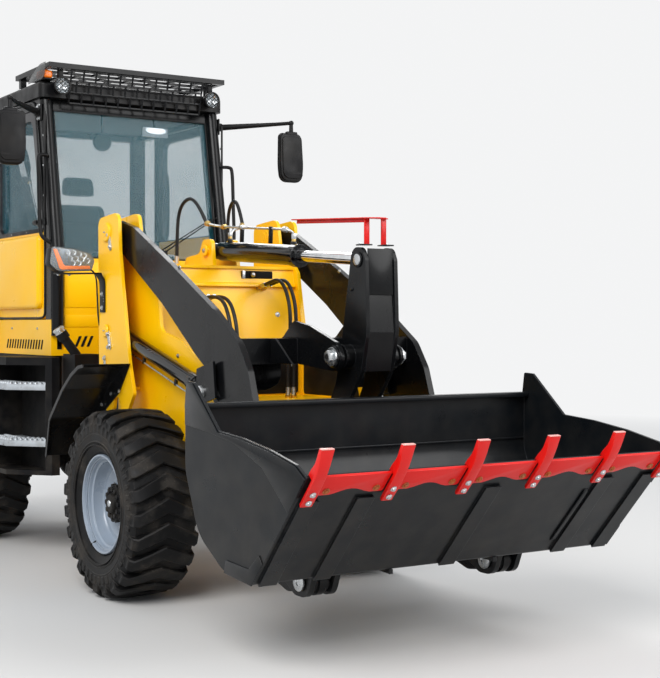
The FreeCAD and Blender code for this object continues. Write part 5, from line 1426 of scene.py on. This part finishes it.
# roof: lattice, work lamps with wire guards, beacon under its smoked plate
roofLamp = {"face": -1.500, "y": 0.560, "z": 3.130, "wires": 5, "wireGap": 0.0195, "reach": 0.0535,
            "wireLean": 40}
lampParts = []
lensParts = []
for sign in (1, -1):
    centre = (roofLamp["face"], sign * roofLamp["y"], roofLamp["z"])
    shell = [(-0.072, 0.0), (-0.072, 0.026), (-0.054, 0.046), (-0.012, 0.0565), (0.0, 0.058), (0.0, 0.0525),
             (-0.010, 0.0505), (-0.032, 0.034), (-0.041, 0.014), (-0.041, 0.0)]
    lampParts.append((turnedPart(shell, centre, (1, 0, 0), 40, False), 0))
    bowl = [(-0.0085, 0.0500), (-0.030, 0.0335), (-0.0395, 0.013), (-0.0395, 0.0)]
    lampParts.append((turnedPart(bowl, centre, (1, 0, 0), 40, False), 1))
    for y, z in ((0.018, 0.012), (-0.018, 0.012), (0.0, -0.020), (0.0, 0.034)):
        led = turnedPart([(-0.034, 0.0125), (-0.028, 0.0135), (-0.024, 0.010), (-0.022, 0.0)],
                         (centre[0], centre[1] + y, centre[2] + z), (1, 0, 0), 14, False)
        lampParts.append((led, 2))
    lensParts.append(turnedPart([(-0.0065, 0.0515), (-0.002, 0.032), (0.0, 0.0), (-0.003, 0.0),
                                 (-0.005, 0.032), (-0.0090, 0.0505)], centre, (1, 0, 0), 40, False))
    lampParts.append((turnedPart([(0.0, 0.0585), (0.006, 0.0585), (0.006, 0.0505), (0.0, 0.0505)], centre,
                                 (1, 0, 0), 40), 0))
    for k in range(roofLamp["wires"]):
        away = (k - (roofLamp["wires"] - 1) / 2) * roofLamp["wireGap"]
        half = math.sqrt(roofLamp["reach"] ** 2 - away ** 2)
        for lean in (math.radians(roofLamp["wireLean"]), math.radians(-roofLamp["wireLean"])):
            along = Vector((0, math.cos(lean), math.sin(lean)))
            off = Vector((0.0045, -math.sin(lean) * away, math.cos(lean) * away))
            middle = Vector(centre) + off
            lampParts.append((rodPart(middle - along * half, middle + along * half, 0.0022, sides=6), 0))
    y = centre[1]
    lampParts += [
        (blockPart((-1.560, y - 0.018, 3.186), (-1.532, y + 0.018, 3.2455), 0.003), 0),
        (boltPart((-1.546, y, 3.1865), (0, 0, -1), 0.008, False), 3),
    ]
roofLamps = addPiece("roofLamps", "rear_frame", [blackPlastic, brightReflector, clearLens, zincSteel],
                     lampParts)
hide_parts("roof_lights")
roofLenses = addPiece("roofLampLenses", "rear_frame", [clearLens], lensParts)
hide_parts("roof_lights")

visor = {"half": 0.490, "columns": 11, "rows": 3, "high": (-1.512, 3.244), "low": (-1.574, 3.030)}
visorParts = []
high, low = Vector(visor["high"]), Vector(visor["low"])
lean = math.atan2(high.x - low.x, high.y - low.y)
for row in range(visor["rows"] + 1):
    at = low.lerp(high, row / visor["rows"])
    visorParts.append(blockPart((at.x - 0.003, -visor["half"], at.y - 0.006),
                                (at.x + 0.003, visor["half"], at.y + 0.006), 0.0015, 1))
    if row == visor["rows"]:
        continue
    top = low.lerp(high, (row + 1) / visor["rows"])
    middle = (at + top) / 2
    for k in range(visor["columns"] + 1):
        y = -visor["half"] + 2 * visor["half"] * (k + (0.5 if row % 2 else 0.0)) / visor["columns"]
        if y < visor["half"] + 0.001:
            bar = blockPart((-0.003, -0.006, -(top - at).length / 2), (0.003, 0.006, (top - at).length / 2),
                            0.0, 1)
            bar.transform(Matrix.Translation((middle.x, y, middle.y)) @ Matrix.Rotation(lean, 4, "Y"))
            visorParts.append(bar)
for y in (-visor["half"], visor["half"]):
    visorParts.append(slabPart([(low.x - 0.006, low.y), (low.x + 0.006, low.y), (high.x + 0.006, 3.2455),
                                (high.x - 0.006, 3.2455)], y - 0.004, y + 0.004, "XZ", 0.001))
addPiece("roofVisor", "rear_frame", [blackPaint], visorParts)

beaconParts = [(blockPart((-1.715, -0.676, 3.1702), (-1.545, -0.606, 3.182), 0.004), 0)]
hood = blockPart((-1.710, -0.674, 3.181), (-1.550, -0.608, 3.236), 0.016, 5)
beaconParts.append((hood, 1))
for x in (-1.665, -1.630, -1.595):
    beaconParts.append((blockPart((x - 0.0015, -0.6755, 3.188), (x + 0.0015, -0.6065, 3.2375), 0.001), 1))
addPiece("beaconLamp", "rear_frame", [blackPlastic, amberLens], beaconParts)
plate = slabPart([(-1.830, 3.174, 0.01), (-1.760, 3.222, 0.05), (-1.600, 3.2775, 0.03),
                  (-1.497, 3.2775, 0.004), (-1.520, 3.190, 0.02), (-1.560, 3.174)], -0.6825, -0.6785, "XZ",
                 0.001)
addPiece("smokedPlate", "rear_frame", [smokedLens], [plate])
guardParts = []
for x in (-1.700, -2.100):
    for sign in (1, -1):
        guardParts.append((blockPart((x - 0.032, sign * 0.588, 3.1703), (x + 0.032, sign * 0.652, 3.1765),
                                     0.002), 0))
        for across in (-0.024, 0.024):
            guardParts.append((boltPart((x + across, sign * 0.646, 3.1765), (0, 0, 1), 0.006), 1))
for sign in (1, -1):
    for k in range(7):
        x = -1.54 - 0.1 * k
        guardParts.append((rodPart((x, sign * 0.638, 3.2795), (x, sign * 0.638, 3.2800), 0.006, sides=12), 1))
    guardParts.append((slabPart([(-2.930, 3.1704), (-1.700, 3.1704), (-1.700, 3.176), (-2.930, 3.176)],
                                sign * 0.560, sign * 0.566, "XZ", 0.001), 0))
addPiece("roofGuardTrim", "rear_frame", [blackPaint, zincSteel], guardParts)
print("roof made")


# mirrors: shell, glass facing back, arm with sleeve and clamp
mirror = {
    "shell": [(0.930, 2.894, 0.032), (1.110, 2.892, 0.036), (1.1295, 2.640, 0.05), (1.112, 2.545, 0.045),
              (0.944, 2.545, 0.045), (0.926, 2.640, 0.05)],
    "middle": (1.028, 2.720),
    "layers": [(0.0, -1.216, -1.186, 0.007, 2, 0), (0.010, -1.190, -1.174, 0.010, 4, 0),
               (0.030, -1.176, -1.166, 0.008, 4, 0), (0.012, -1.2175, -1.2155, 0.0005, 2, 1)],
}


def mirrorParts():
    parts = []
    for inset, low, high, bevel, segments, number in mirror["layers"]:
        outline = drawnIn(mirror["shell"], mirror["middle"], inset)
        parts.append((slabPart(outline, low, high, "YZ", bevel, segments), number))
    parts += [
        (blockPart((-1.212, 0.985, 2.870), (-1.176, 1.075, 2.905), 0.010, 4), 0),
        (rodPart((-1.195, 1.030, 2.900), (-1.195, 1.030, 2.958), 0.0155, 0.0135, 24), 0),
        (ballPart((-1.195, 1.030, 2.966), 0.019), 0),
        (rodPart((-1.640, 0.690, 2.962), (-1.330, 0.945, 2.966), 0.023, 0.0145, 20), 0),
        (rodPart((-1.335, 0.941, 2.966), (-1.195, 1.030, 2.966), 0.0145, 0.0130, 20), 0),
        (blockPart((-1.672, 0.6655, 2.905), (-1.605, 0.676, 3.020), 0.003), 0),
        (blockPart((-1.660, 0.6705, 2.935), (-1.617, 0.705, 2.990), 0.006), 0),
    ]
    for x, z in ((-1.655, 2.918), (-1.622, 2.918), (-1.655, 3.007), (-1.622, 3.007)):
        parts.append((boltPart((x, 0.6763, z), (0, 1, 0), 0.007), 2))
    parts.append((boltPart((-1.6385, 0.686, 2.992), (0, 0, 1), 0.008), 2))
    return parts


mirrors = addPiece("mirrorsAndArms", "rear_frame", [blackPlastic, mirrorGlass, zincSteel],
                   bothSides(mirrorParts()))
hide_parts("mirrors")
print("mirrors made")


# seat: padded cloth cushion, back and headrest on a plastic tray
padding = {"voxel": 0.006, "pressure": 4.0, "frames": 20, "cap": 0.011, "cushionSeam": 0.150,
           "backSeam": 0.145, "headSeam": 0.085, "facing": 0.2}


# the piece's mesh with its modifiers applied
def settled(piece):
    bpy.context.view_layer.update()
    mesh = bpy.data.meshes.new_from_object(piece.evaluated_get(bpy.context.evaluated_depsgraph_get()))
    piece.modifiers.clear()
    old = piece.data
    piece.data = mesh
    bpy.data.meshes.remove(old)
    return mesh


# remeshed, puffed up by a cloth step, then seams pressed in and one subdivision
def addPadded(name, part, shape):
    bmesh.ops.translate(part, verts=part.verts, vec=(axleX, 0, 0))
    mesh = bpy.data.meshes.new(name)
    part.to_mesh(mesh)
    part.free()
    piece = bpy.data.objects.new(name, mesh)
    scene.collection.objects.link(piece)
    voxels = piece.modifiers.new("voxels", "REMESH")
    voxels.mode = "VOXEL"
    voxels.voxel_size = padding["voxel"]
    mesh = settled(piece)
    rest = [corner.co.copy() for corner in mesh.vertices]
    cloth = piece.modifiers.new("cloth", "CLOTH")
    cloth.settings.use_pressure = True
    cloth.settings.uniform_pressure_force = padding["pressure"]
    cloth.settings.effector_weights.gravity = 0.0
    cloth.point_cache.frame_start = 1
    cloth.point_cache.frame_end = padding["frames"]
    for tick in range(1, padding["frames"] + 1):
        scene.frame_set(tick)
    mesh = settled(piece)
    scene.frame_set(1)
    for corner, start in zip(mesh.vertices, rest):
        move = corner.co - start
        if move.length > padding["cap"]:
            corner.co = start + move * (padding["cap"] / move.length)
    facing = [corner.normal.copy() for corner in mesh.vertices]
    for corner, normal in zip(mesh.vertices, facing):
        corner.co = shape(corner.co.copy(), normal)
    rounding = piece.modifiers.new("rounding", "SUBSURF")
    rounding.levels = rounding.render_levels = 1
    mesh = settled(piece)
    mesh.name = name
    mesh.materials.clear()
    mesh.materials.append(seatCloth)
    mesh.shade_smooth()
    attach(piece, "rear_frame")
    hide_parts("seat")


def pressed(distance, depth, width):
    return depth * math.exp(-(distance / width) ** 2)


def cushionShape(co, normal):
    x, seam = co.x - axleX, padding["cushionSeam"]
    if normal.z > padding["facing"]:
        cross = pressed(x + 2.20, 0.009, 0.006) if abs(co.y) < seam else 0
        co.z -= pressed(abs(co.y) - seam, 0.012, 0.007) + cross
        if abs(co.y) < seam:
            co.z -= 0.010
            co.z -= pressed(x + 2.33, 0.006, 0.006) + pressed(x + 2.46, 0.006, 0.006)
    co.z = max(co.z, 1.7645)
    return co


def backShape(co, normal):
    if co.z > 2.16:
        co.y *= 1 - 0.30 * ((co.z - 2.16) / 0.31) ** 2
    if normal.x > padding["facing"]:
        co.x -= pressed(abs(co.y) - padding["backSeam"], 0.013, 0.007)
        if abs(co.y) < padding["backSeam"]:
            co.x -= 0.010 + pressed(co.z - 2.30, 0.007, 0.006) + pressed(co.z - 2.12, 0.007, 0.006)
    return co


def headShape(co, normal):
    co.y *= 1 - 0.22 * max(0.0, (co.z - 2.56) / 0.10) ** 2
    if normal.x > padding["facing"]:
        co.x -= pressed(abs(co.y) - padding["headSeam"], 0.006, 0.006)
    return co


cushion = slabPart([(-2.583, -0.238, 0.05), (-2.583, 0.238, 0.05), (-2.118, 0.238, 0.09),
                    (-2.118, -0.238, 0.09)], 1.772, 1.862, "XY", 0.026, 4)
back = slabPart([(-2.600, 1.890, 0.02), (-2.500, 1.890, 0.02), (-2.568, 2.448, 0.04), (-2.652, 2.448, 0.04),
                 (-2.690, 1.910, 0.02)], -0.238, 0.238, "XZ", 0.024, 4)
head = slabPart([(-2.655, 2.510, 0.02), (-2.580, 2.510, 0.02), (-2.598, 2.648, 0.03), (-2.672, 2.648, 0.03)],
                -0.120, 0.120, "XZ", 0.024, 4)
addPadded("seatCushion", cushion, cushionShape)
addPadded("seatBack", back, backShape)
addPadded("seatHeadrest", head, headShape)
seatParts = [(blockPart((-2.590, -0.230, 1.7603), (-2.130, 0.230, 1.7640), 0.001), 0),
             (rodPart((-2.610, 0.055, 2.440), (-2.622, 0.055, 2.530), 0.007, sides=16), 1),
             (rodPart((-2.610, -0.055, 2.440), (-2.622, -0.055, 2.530), 0.007, sides=16), 1)]
for sign in (1, -1):
    bracket = [(-2.640, 1.790, 0.02), (-2.540, 1.790, 0.02), (-2.560, 1.960, 0.03), (-2.660, 1.960, 0.03)]
    seatParts += [
        (slabPart(bracket, sign * 0.252, sign * 0.262, "XZ", 0.003), 0),
        (rodPart((-2.600, sign * 0.262, 1.880), (-2.600, sign * 0.275, 1.880), 0.030, 0.026, 24), 0),
    ]
seatFittings = addPiece("seatFittings", "rear_frame", [blackPlastic, chromeRod], seatParts)
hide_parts("seat")
print("seat made")


# inside the cab: dash, lining, fan, floor mat, lever gaiters
insideParts = [(slabPart([(-1.500, 1.960), (-1.500, 2.010, 0.02), (-1.620, 2.035, 0.03),
                          (-1.690, 1.990, 0.03), (-1.700, 1.900, 0.02), (-1.560, 1.900)], -0.300, 0.300,
                         "XZ", 0.006), 0)]
for y in (-0.06, 0.06):
    insideParts.append((turnedPart([(0.0, 0.0), (0.0, 0.030), (0.006, 0.034), (0.008, 0.030), (0.008, 0.0)],
                                   (-1.655, y, 2.014), (-0.5, 0, 0.86), 28, False), 1))
insideParts += [
    (turnedPart([(-0.012, 0.0), (-0.010, 0.046), (0.012, 0.042), (0.018, 0.030), (0.018, 0.0)],
                (-1.865, 0, 2.150), (-0.53, 0, 0.848), 28, False), 0),
    (slabPart([(-2.86, -0.58), (-2.86, 0.58), (-1.60, 0.58), (-1.60, -0.58)], 1.3702, 1.3745, "XY", 0.0015),
     2),
]
lining = [(-2.86, -0.600, 0.03), (-2.86, 0.600, 0.03), (-1.760, 0.600, 0.03), (-1.760, -0.600, 0.03)]
insideParts += [
    (slabPart(lining, 3.030, 3.0595, "XY", 0.008), 3),
    (turnedPart([(-0.020, 0.0), (-0.018, 0.058), (-0.010, 0.064), (0.010, 0.064), (0.016, 0.056),
                 (0.016, 0.0)], (-1.690, -0.200, 2.800), (-0.9, 0.1, 0.1), 32, False), 0),
    (rodPart((-1.690, -0.200, 2.860), (-1.700, -0.200, 3.030), 0.007, sides=16), 0),
    (blockPart((-1.690, 0.100, 2.860), (-1.678, 0.300, 2.930), 0.006), 1),
    (rodPart((-1.690, 0.200, 2.925), (-1.720, 0.200, 3.030), 0.006, sides=16), 0),
]
for y in (-0.2, -0.07, 0.07, 0.2):
    insideParts.append((turnedPart([(0.0, 0.040), (0.010, 0.036), (0.020, 0.028), (0.030, 0.024),
                                    (0.040, 0.016), (0.050, 0.0125)], (-2.8095, y, 1.9005), (0.09, 0, 1),
                                   24, False), 2))
for y in (-0.14, 0.14):
    insideParts.append((slabPart([(-1.640, 1.400), (-1.620, 1.400), (-1.690, 1.530), (-1.710, 1.530)],
                                 y - 0.045, y + 0.045, "XZ", 0.004), 2))
addPiece("cabInside", "rear_frame", [blackPlastic, mirrorGlass, matBlack, paleLining], insideParts)
print("cab inside made")


# rear: lamps, guide straps, fender edges and stabiliser feet
rearParts = []
for sign in (1, -1):
    y = sign * 0.860
    rearParts.append((blockPart((-3.316, y - 0.055 * sign, 1.440), (-3.3135, y + 0.055 * sign, 1.640),
                                0.002), 0))
    for low, high, number in ((1.560, 1.625, 1), (1.500, 1.555, 2), (1.452, 1.495, 3)):
        lens = blockPart((-3.334, y - 0.045 * sign, low), (-3.3155, y + 0.045 * sign, high), 0.006)
        rearParts.append((lens, number))
    for z in (0.640, 1.660):
        for side in (1, -1):
            low, high = (-3.3165, y + side * 0.0735, z - 0.018), (-3.1635, y + side * 0.0785, z + 0.018)
            rearParts.append((blockPart(low, high, 0.002), 4))
        for x in (-3.3185, -3.1665):
            low, high = (x, y - 0.078, z - 0.018), (x + 0.005, y + 0.078, z + 0.018)
            rearParts.append((blockPart(low, high, 0.002), 4))
    for z in (0.80, 1.05, 1.30):
        rearParts.append((boltPart((-3.1665, y + 0.04 * sign, z), (1, 0, 0), 0.010), 5))
    for x in (-3.275, -3.155):
        for across in (0.40, 0.70):
            rearParts.append((boltPart((x, sign * across, 0.9603), (0, 0, 1), 0.012), 5))
    rearParts.append((blockPart((-3.3035, sign * 0.42, 0.76), (-3.3003, sign * 0.50, 0.86), 0.001), 2))
addPiece("rearFittings", "rear_frame", [framePaint, redLens, amberLens, clearLens, framePaint, zincSteel],
         rearParts)
fenderEdge = {"middle": (-2.600, 0.530), "radius": 0.686, "y": 0.950, "first": 20, "step": 8.05, "points": 17}
route = []
for k in range(fenderEdge["points"]):
    angle = math.radians(fenderEdge["first"] + fenderEdge["step"] * k)
    x = fenderEdge["middle"][0] + fenderEdge["radius"] * math.cos(angle)
    if -3.141 < x < -1.967:
        z = fenderEdge["middle"][1] + fenderEdge["radius"] * math.sin(angle)
        route.append((x, fenderEdge["y"], z))
addTubes("rearFenderEdges", "rear_frame", blackPlastic, tubeSize["fenderEdge"], routesBothSides(route))
for sign, name in ((1, "left"), (-1, "right")):
    y = sign * 0.860
    legParts = []
    for side in (1, -1):
        legParts.append((slabPart([(-3.385, 0.2962), (-3.095, 0.2962), (-3.095, 0.302), (-3.165, 0.352),
                                   (-3.315, 0.352), (-3.385, 0.302)], y + side * 0.0745, y + side * 0.0845,
                                  "XZ", 0.0015), 0))
        for across in (-0.105, 0.105):
            legParts.append((boltPart((-3.240 + 0.118 * side, y + across, 0.2962), (0, 0, 1), 0.012), 1))
    legParts += [
        (rodPart((-3.240, y, 1.6905), (-3.240, y, 1.712), 0.034, sides=28, bevel=0.004), 0),
        (rodPart((-3.240, y, 1.710), (-3.240, y, 1.728), 0.0175, sides=6, bevel=0.001), 1),
    ]
    addPiece("stabiliserTrim_" + name, "stabiliser_leg_" + name, [framePaint, zincSteel], legParts)
print("rear made")


# backhoe: cylinders' glands, pins, wear strips, hoses
boomRam = {"base": (-3.616, 1.109), "eye": (-3.533, 1.872), "radius": 0.048, "rod": 0.028, "length": 0.690,
           "bands": (0.30,), "clips": (0.30,), "ports": (0.13, 0.60), "side": -1, "line": 0.084}
stickRam = {"base": (-3.460, 2.200), "eye": (-4.070, 3.220), "radius": 0.044, "rod": 0.025, "length": 0.620,
            "bands": (0.30,), "clips": (0.30,), "ports": (0.12, 0.54), "side": -1, "line": 0.080}
hoeRam = {"base": (-4.214, 2.644), "eye": (-4.616, 1.702), "radius": 0.038, "rod": 0.022, "length": 0.620,
          "bands": (0.30,), "clips": (0.30,), "ports": (0.12, 0.54), "side": -1, "line": 0.070}
addRamTrim("boomRam", "boom_ram_barrel", boomRam, (0.0,))
addRamTrim("stickRam", "stick_ram_barrel", stickRam, (0.0,))
addRamTrim("hoeRam", "hoe_ram_barrel", hoeRam, (0.0,))


# turned pin end with a keeper bolt on each side; a spot is (x, half width, z, radius)
def pinHeads(spots):
    parts = []
    for x, reach, z, radius in spots:
        for sign in (1, -1):
            head = [(0.0, 0.0), (0.007, 0.0), (0.008, radius * 0.6), (0.007, radius * 0.9), (0.004, radius),
                    (0.0, radius)]
            parts += [
                (turnedPart(head, (x, sign * (reach + 0.0002), z), (0, sign, 0), 28, False), 0),
                (boltPart((x, sign * (reach + 0.007), z), (0, sign, 0), radius * 0.34), 1),
            ]
    return parts


addPiece("swingPostTrim", "swing_post", [blackPaint, zincSteel],
         pinHeads([(-3.780, 0.130, 0.800, 0.046), (-3.616, 0.130, 1.109, 0.032)]))
addPiece("boomTrim", "boom", [blackPaint, zincSteel], pinHeads([(-4.050, 0.108, 2.950, 0.040),
                                                                (-3.460, 0.082, 2.200, 0.034),
                                                                (-3.533, 0.088, 1.872, 0.034)]))
addPiece("stickTrim", "stick", [blackPaint, zincSteel],
         pinHeads([(-4.445, 0.092, 1.837, 0.030), (-4.214, 0.062, 2.644, 0.030)]))
stripParts = []
for y in (-0.15, 0.0, 0.15):
    stripParts.append((slabPart([(-4.520, 0.8095), (-4.260, 0.7945), (-4.080, 0.897), (-4.086, 0.889),
                                 (-4.262, 0.786), (-4.524, 0.8015)], y - 0.020, y + 0.020, "XZ", 0.002), 0))
for sign in (1, -1):
    stripParts.append((slabPart([(-4.010, 0.965), (-3.975, 1.100), (-4.030, 1.130), (-4.120, 1.160),
                                 (-4.200, 1.190), (-4.230, 1.175), (-4.110, 0.960)], sign * 0.2252,
                                sign * 0.2350, "XZ", 0.002), 0))
    for x, z in ((-4.040, 1.060), (-4.110, 1.110)):
        stripParts.append((boltPart((x, sign * 0.2351, z), (0, sign, 0), 0.011), 1))
stripParts += pinHeads([(-4.500, 0.092, 1.560, 0.038), (-4.598, 0.090, 1.403, 0.034)])
addPiece("hoeBucketTrim", "hoe_bucket", [bucketPaint, zincSteel], stripParts)
y = 0.104
boomHoses = []
for x in (-3.700, -3.728):
    boomHoses.append([(x - 0.020, y, 1.050), (x - 0.010, y, 1.300), (x - 0.010, y, 1.900),
                      (x - 0.040, y, 2.200), (x - 0.150, y, 2.520), (x - 0.270, y, 2.780),
                      (x - 0.290, y * 1.15, 2.860)])
addTubes("boomHoses", "boom", hoseRubber, tubeSize["boomHose"], routesBothSides(*boomHoses))
clampParts = []
for sign in (1, -1):
    for x, z in ((-3.724, 1.350), (-3.724, 1.850), (-3.852, 2.480)):
        low, high = (x - 0.038, sign * 0.0903, z - 0.014), (x + 0.034, sign * 0.1165, z + 0.014)
        clampParts += [
            (blockPart(low, high, 0.004), 0),
            (boltPart((x - 0.001, sign * 0.1165, z), (0, sign, 0), 0.007), 1),
        ]
addPiece("boomHoseClamps", "boom", [blackPlastic, zincSteel], clampParts)
stickHose = [(-3.990, 0.1196, 2.860), (-4.080, 0.120, 3.060), (-4.200, 0.120, 3.020), (-4.230, 0.100, 2.860),
             (-4.218, 0.075, 2.700), (-4.236, 0.072, 2.560)]
swingHose = [(-3.272, 0.140, 1.040), (-3.360, 0.150, 1.180), (-3.460, 0.170, 1.240), (-3.560, 0.168, 1.190),
             (-3.610, 0.160, 1.060), (-3.640, 0.150, 0.960)]
routePairs = zip(routesBothSides(stickHose), routesBothSides(swingHose))
for (stickRoute, swingRoute), name in zip(routePairs, ("Left", "Right")):
    addBendingHose("stickHose" + name, stickRoute, ("boom", "stick"))
    addBendingHose("swingHose" + name, swingRoute, ("rear_frame", "swing_post"))
print("backhoe made")

print("all pieces made")
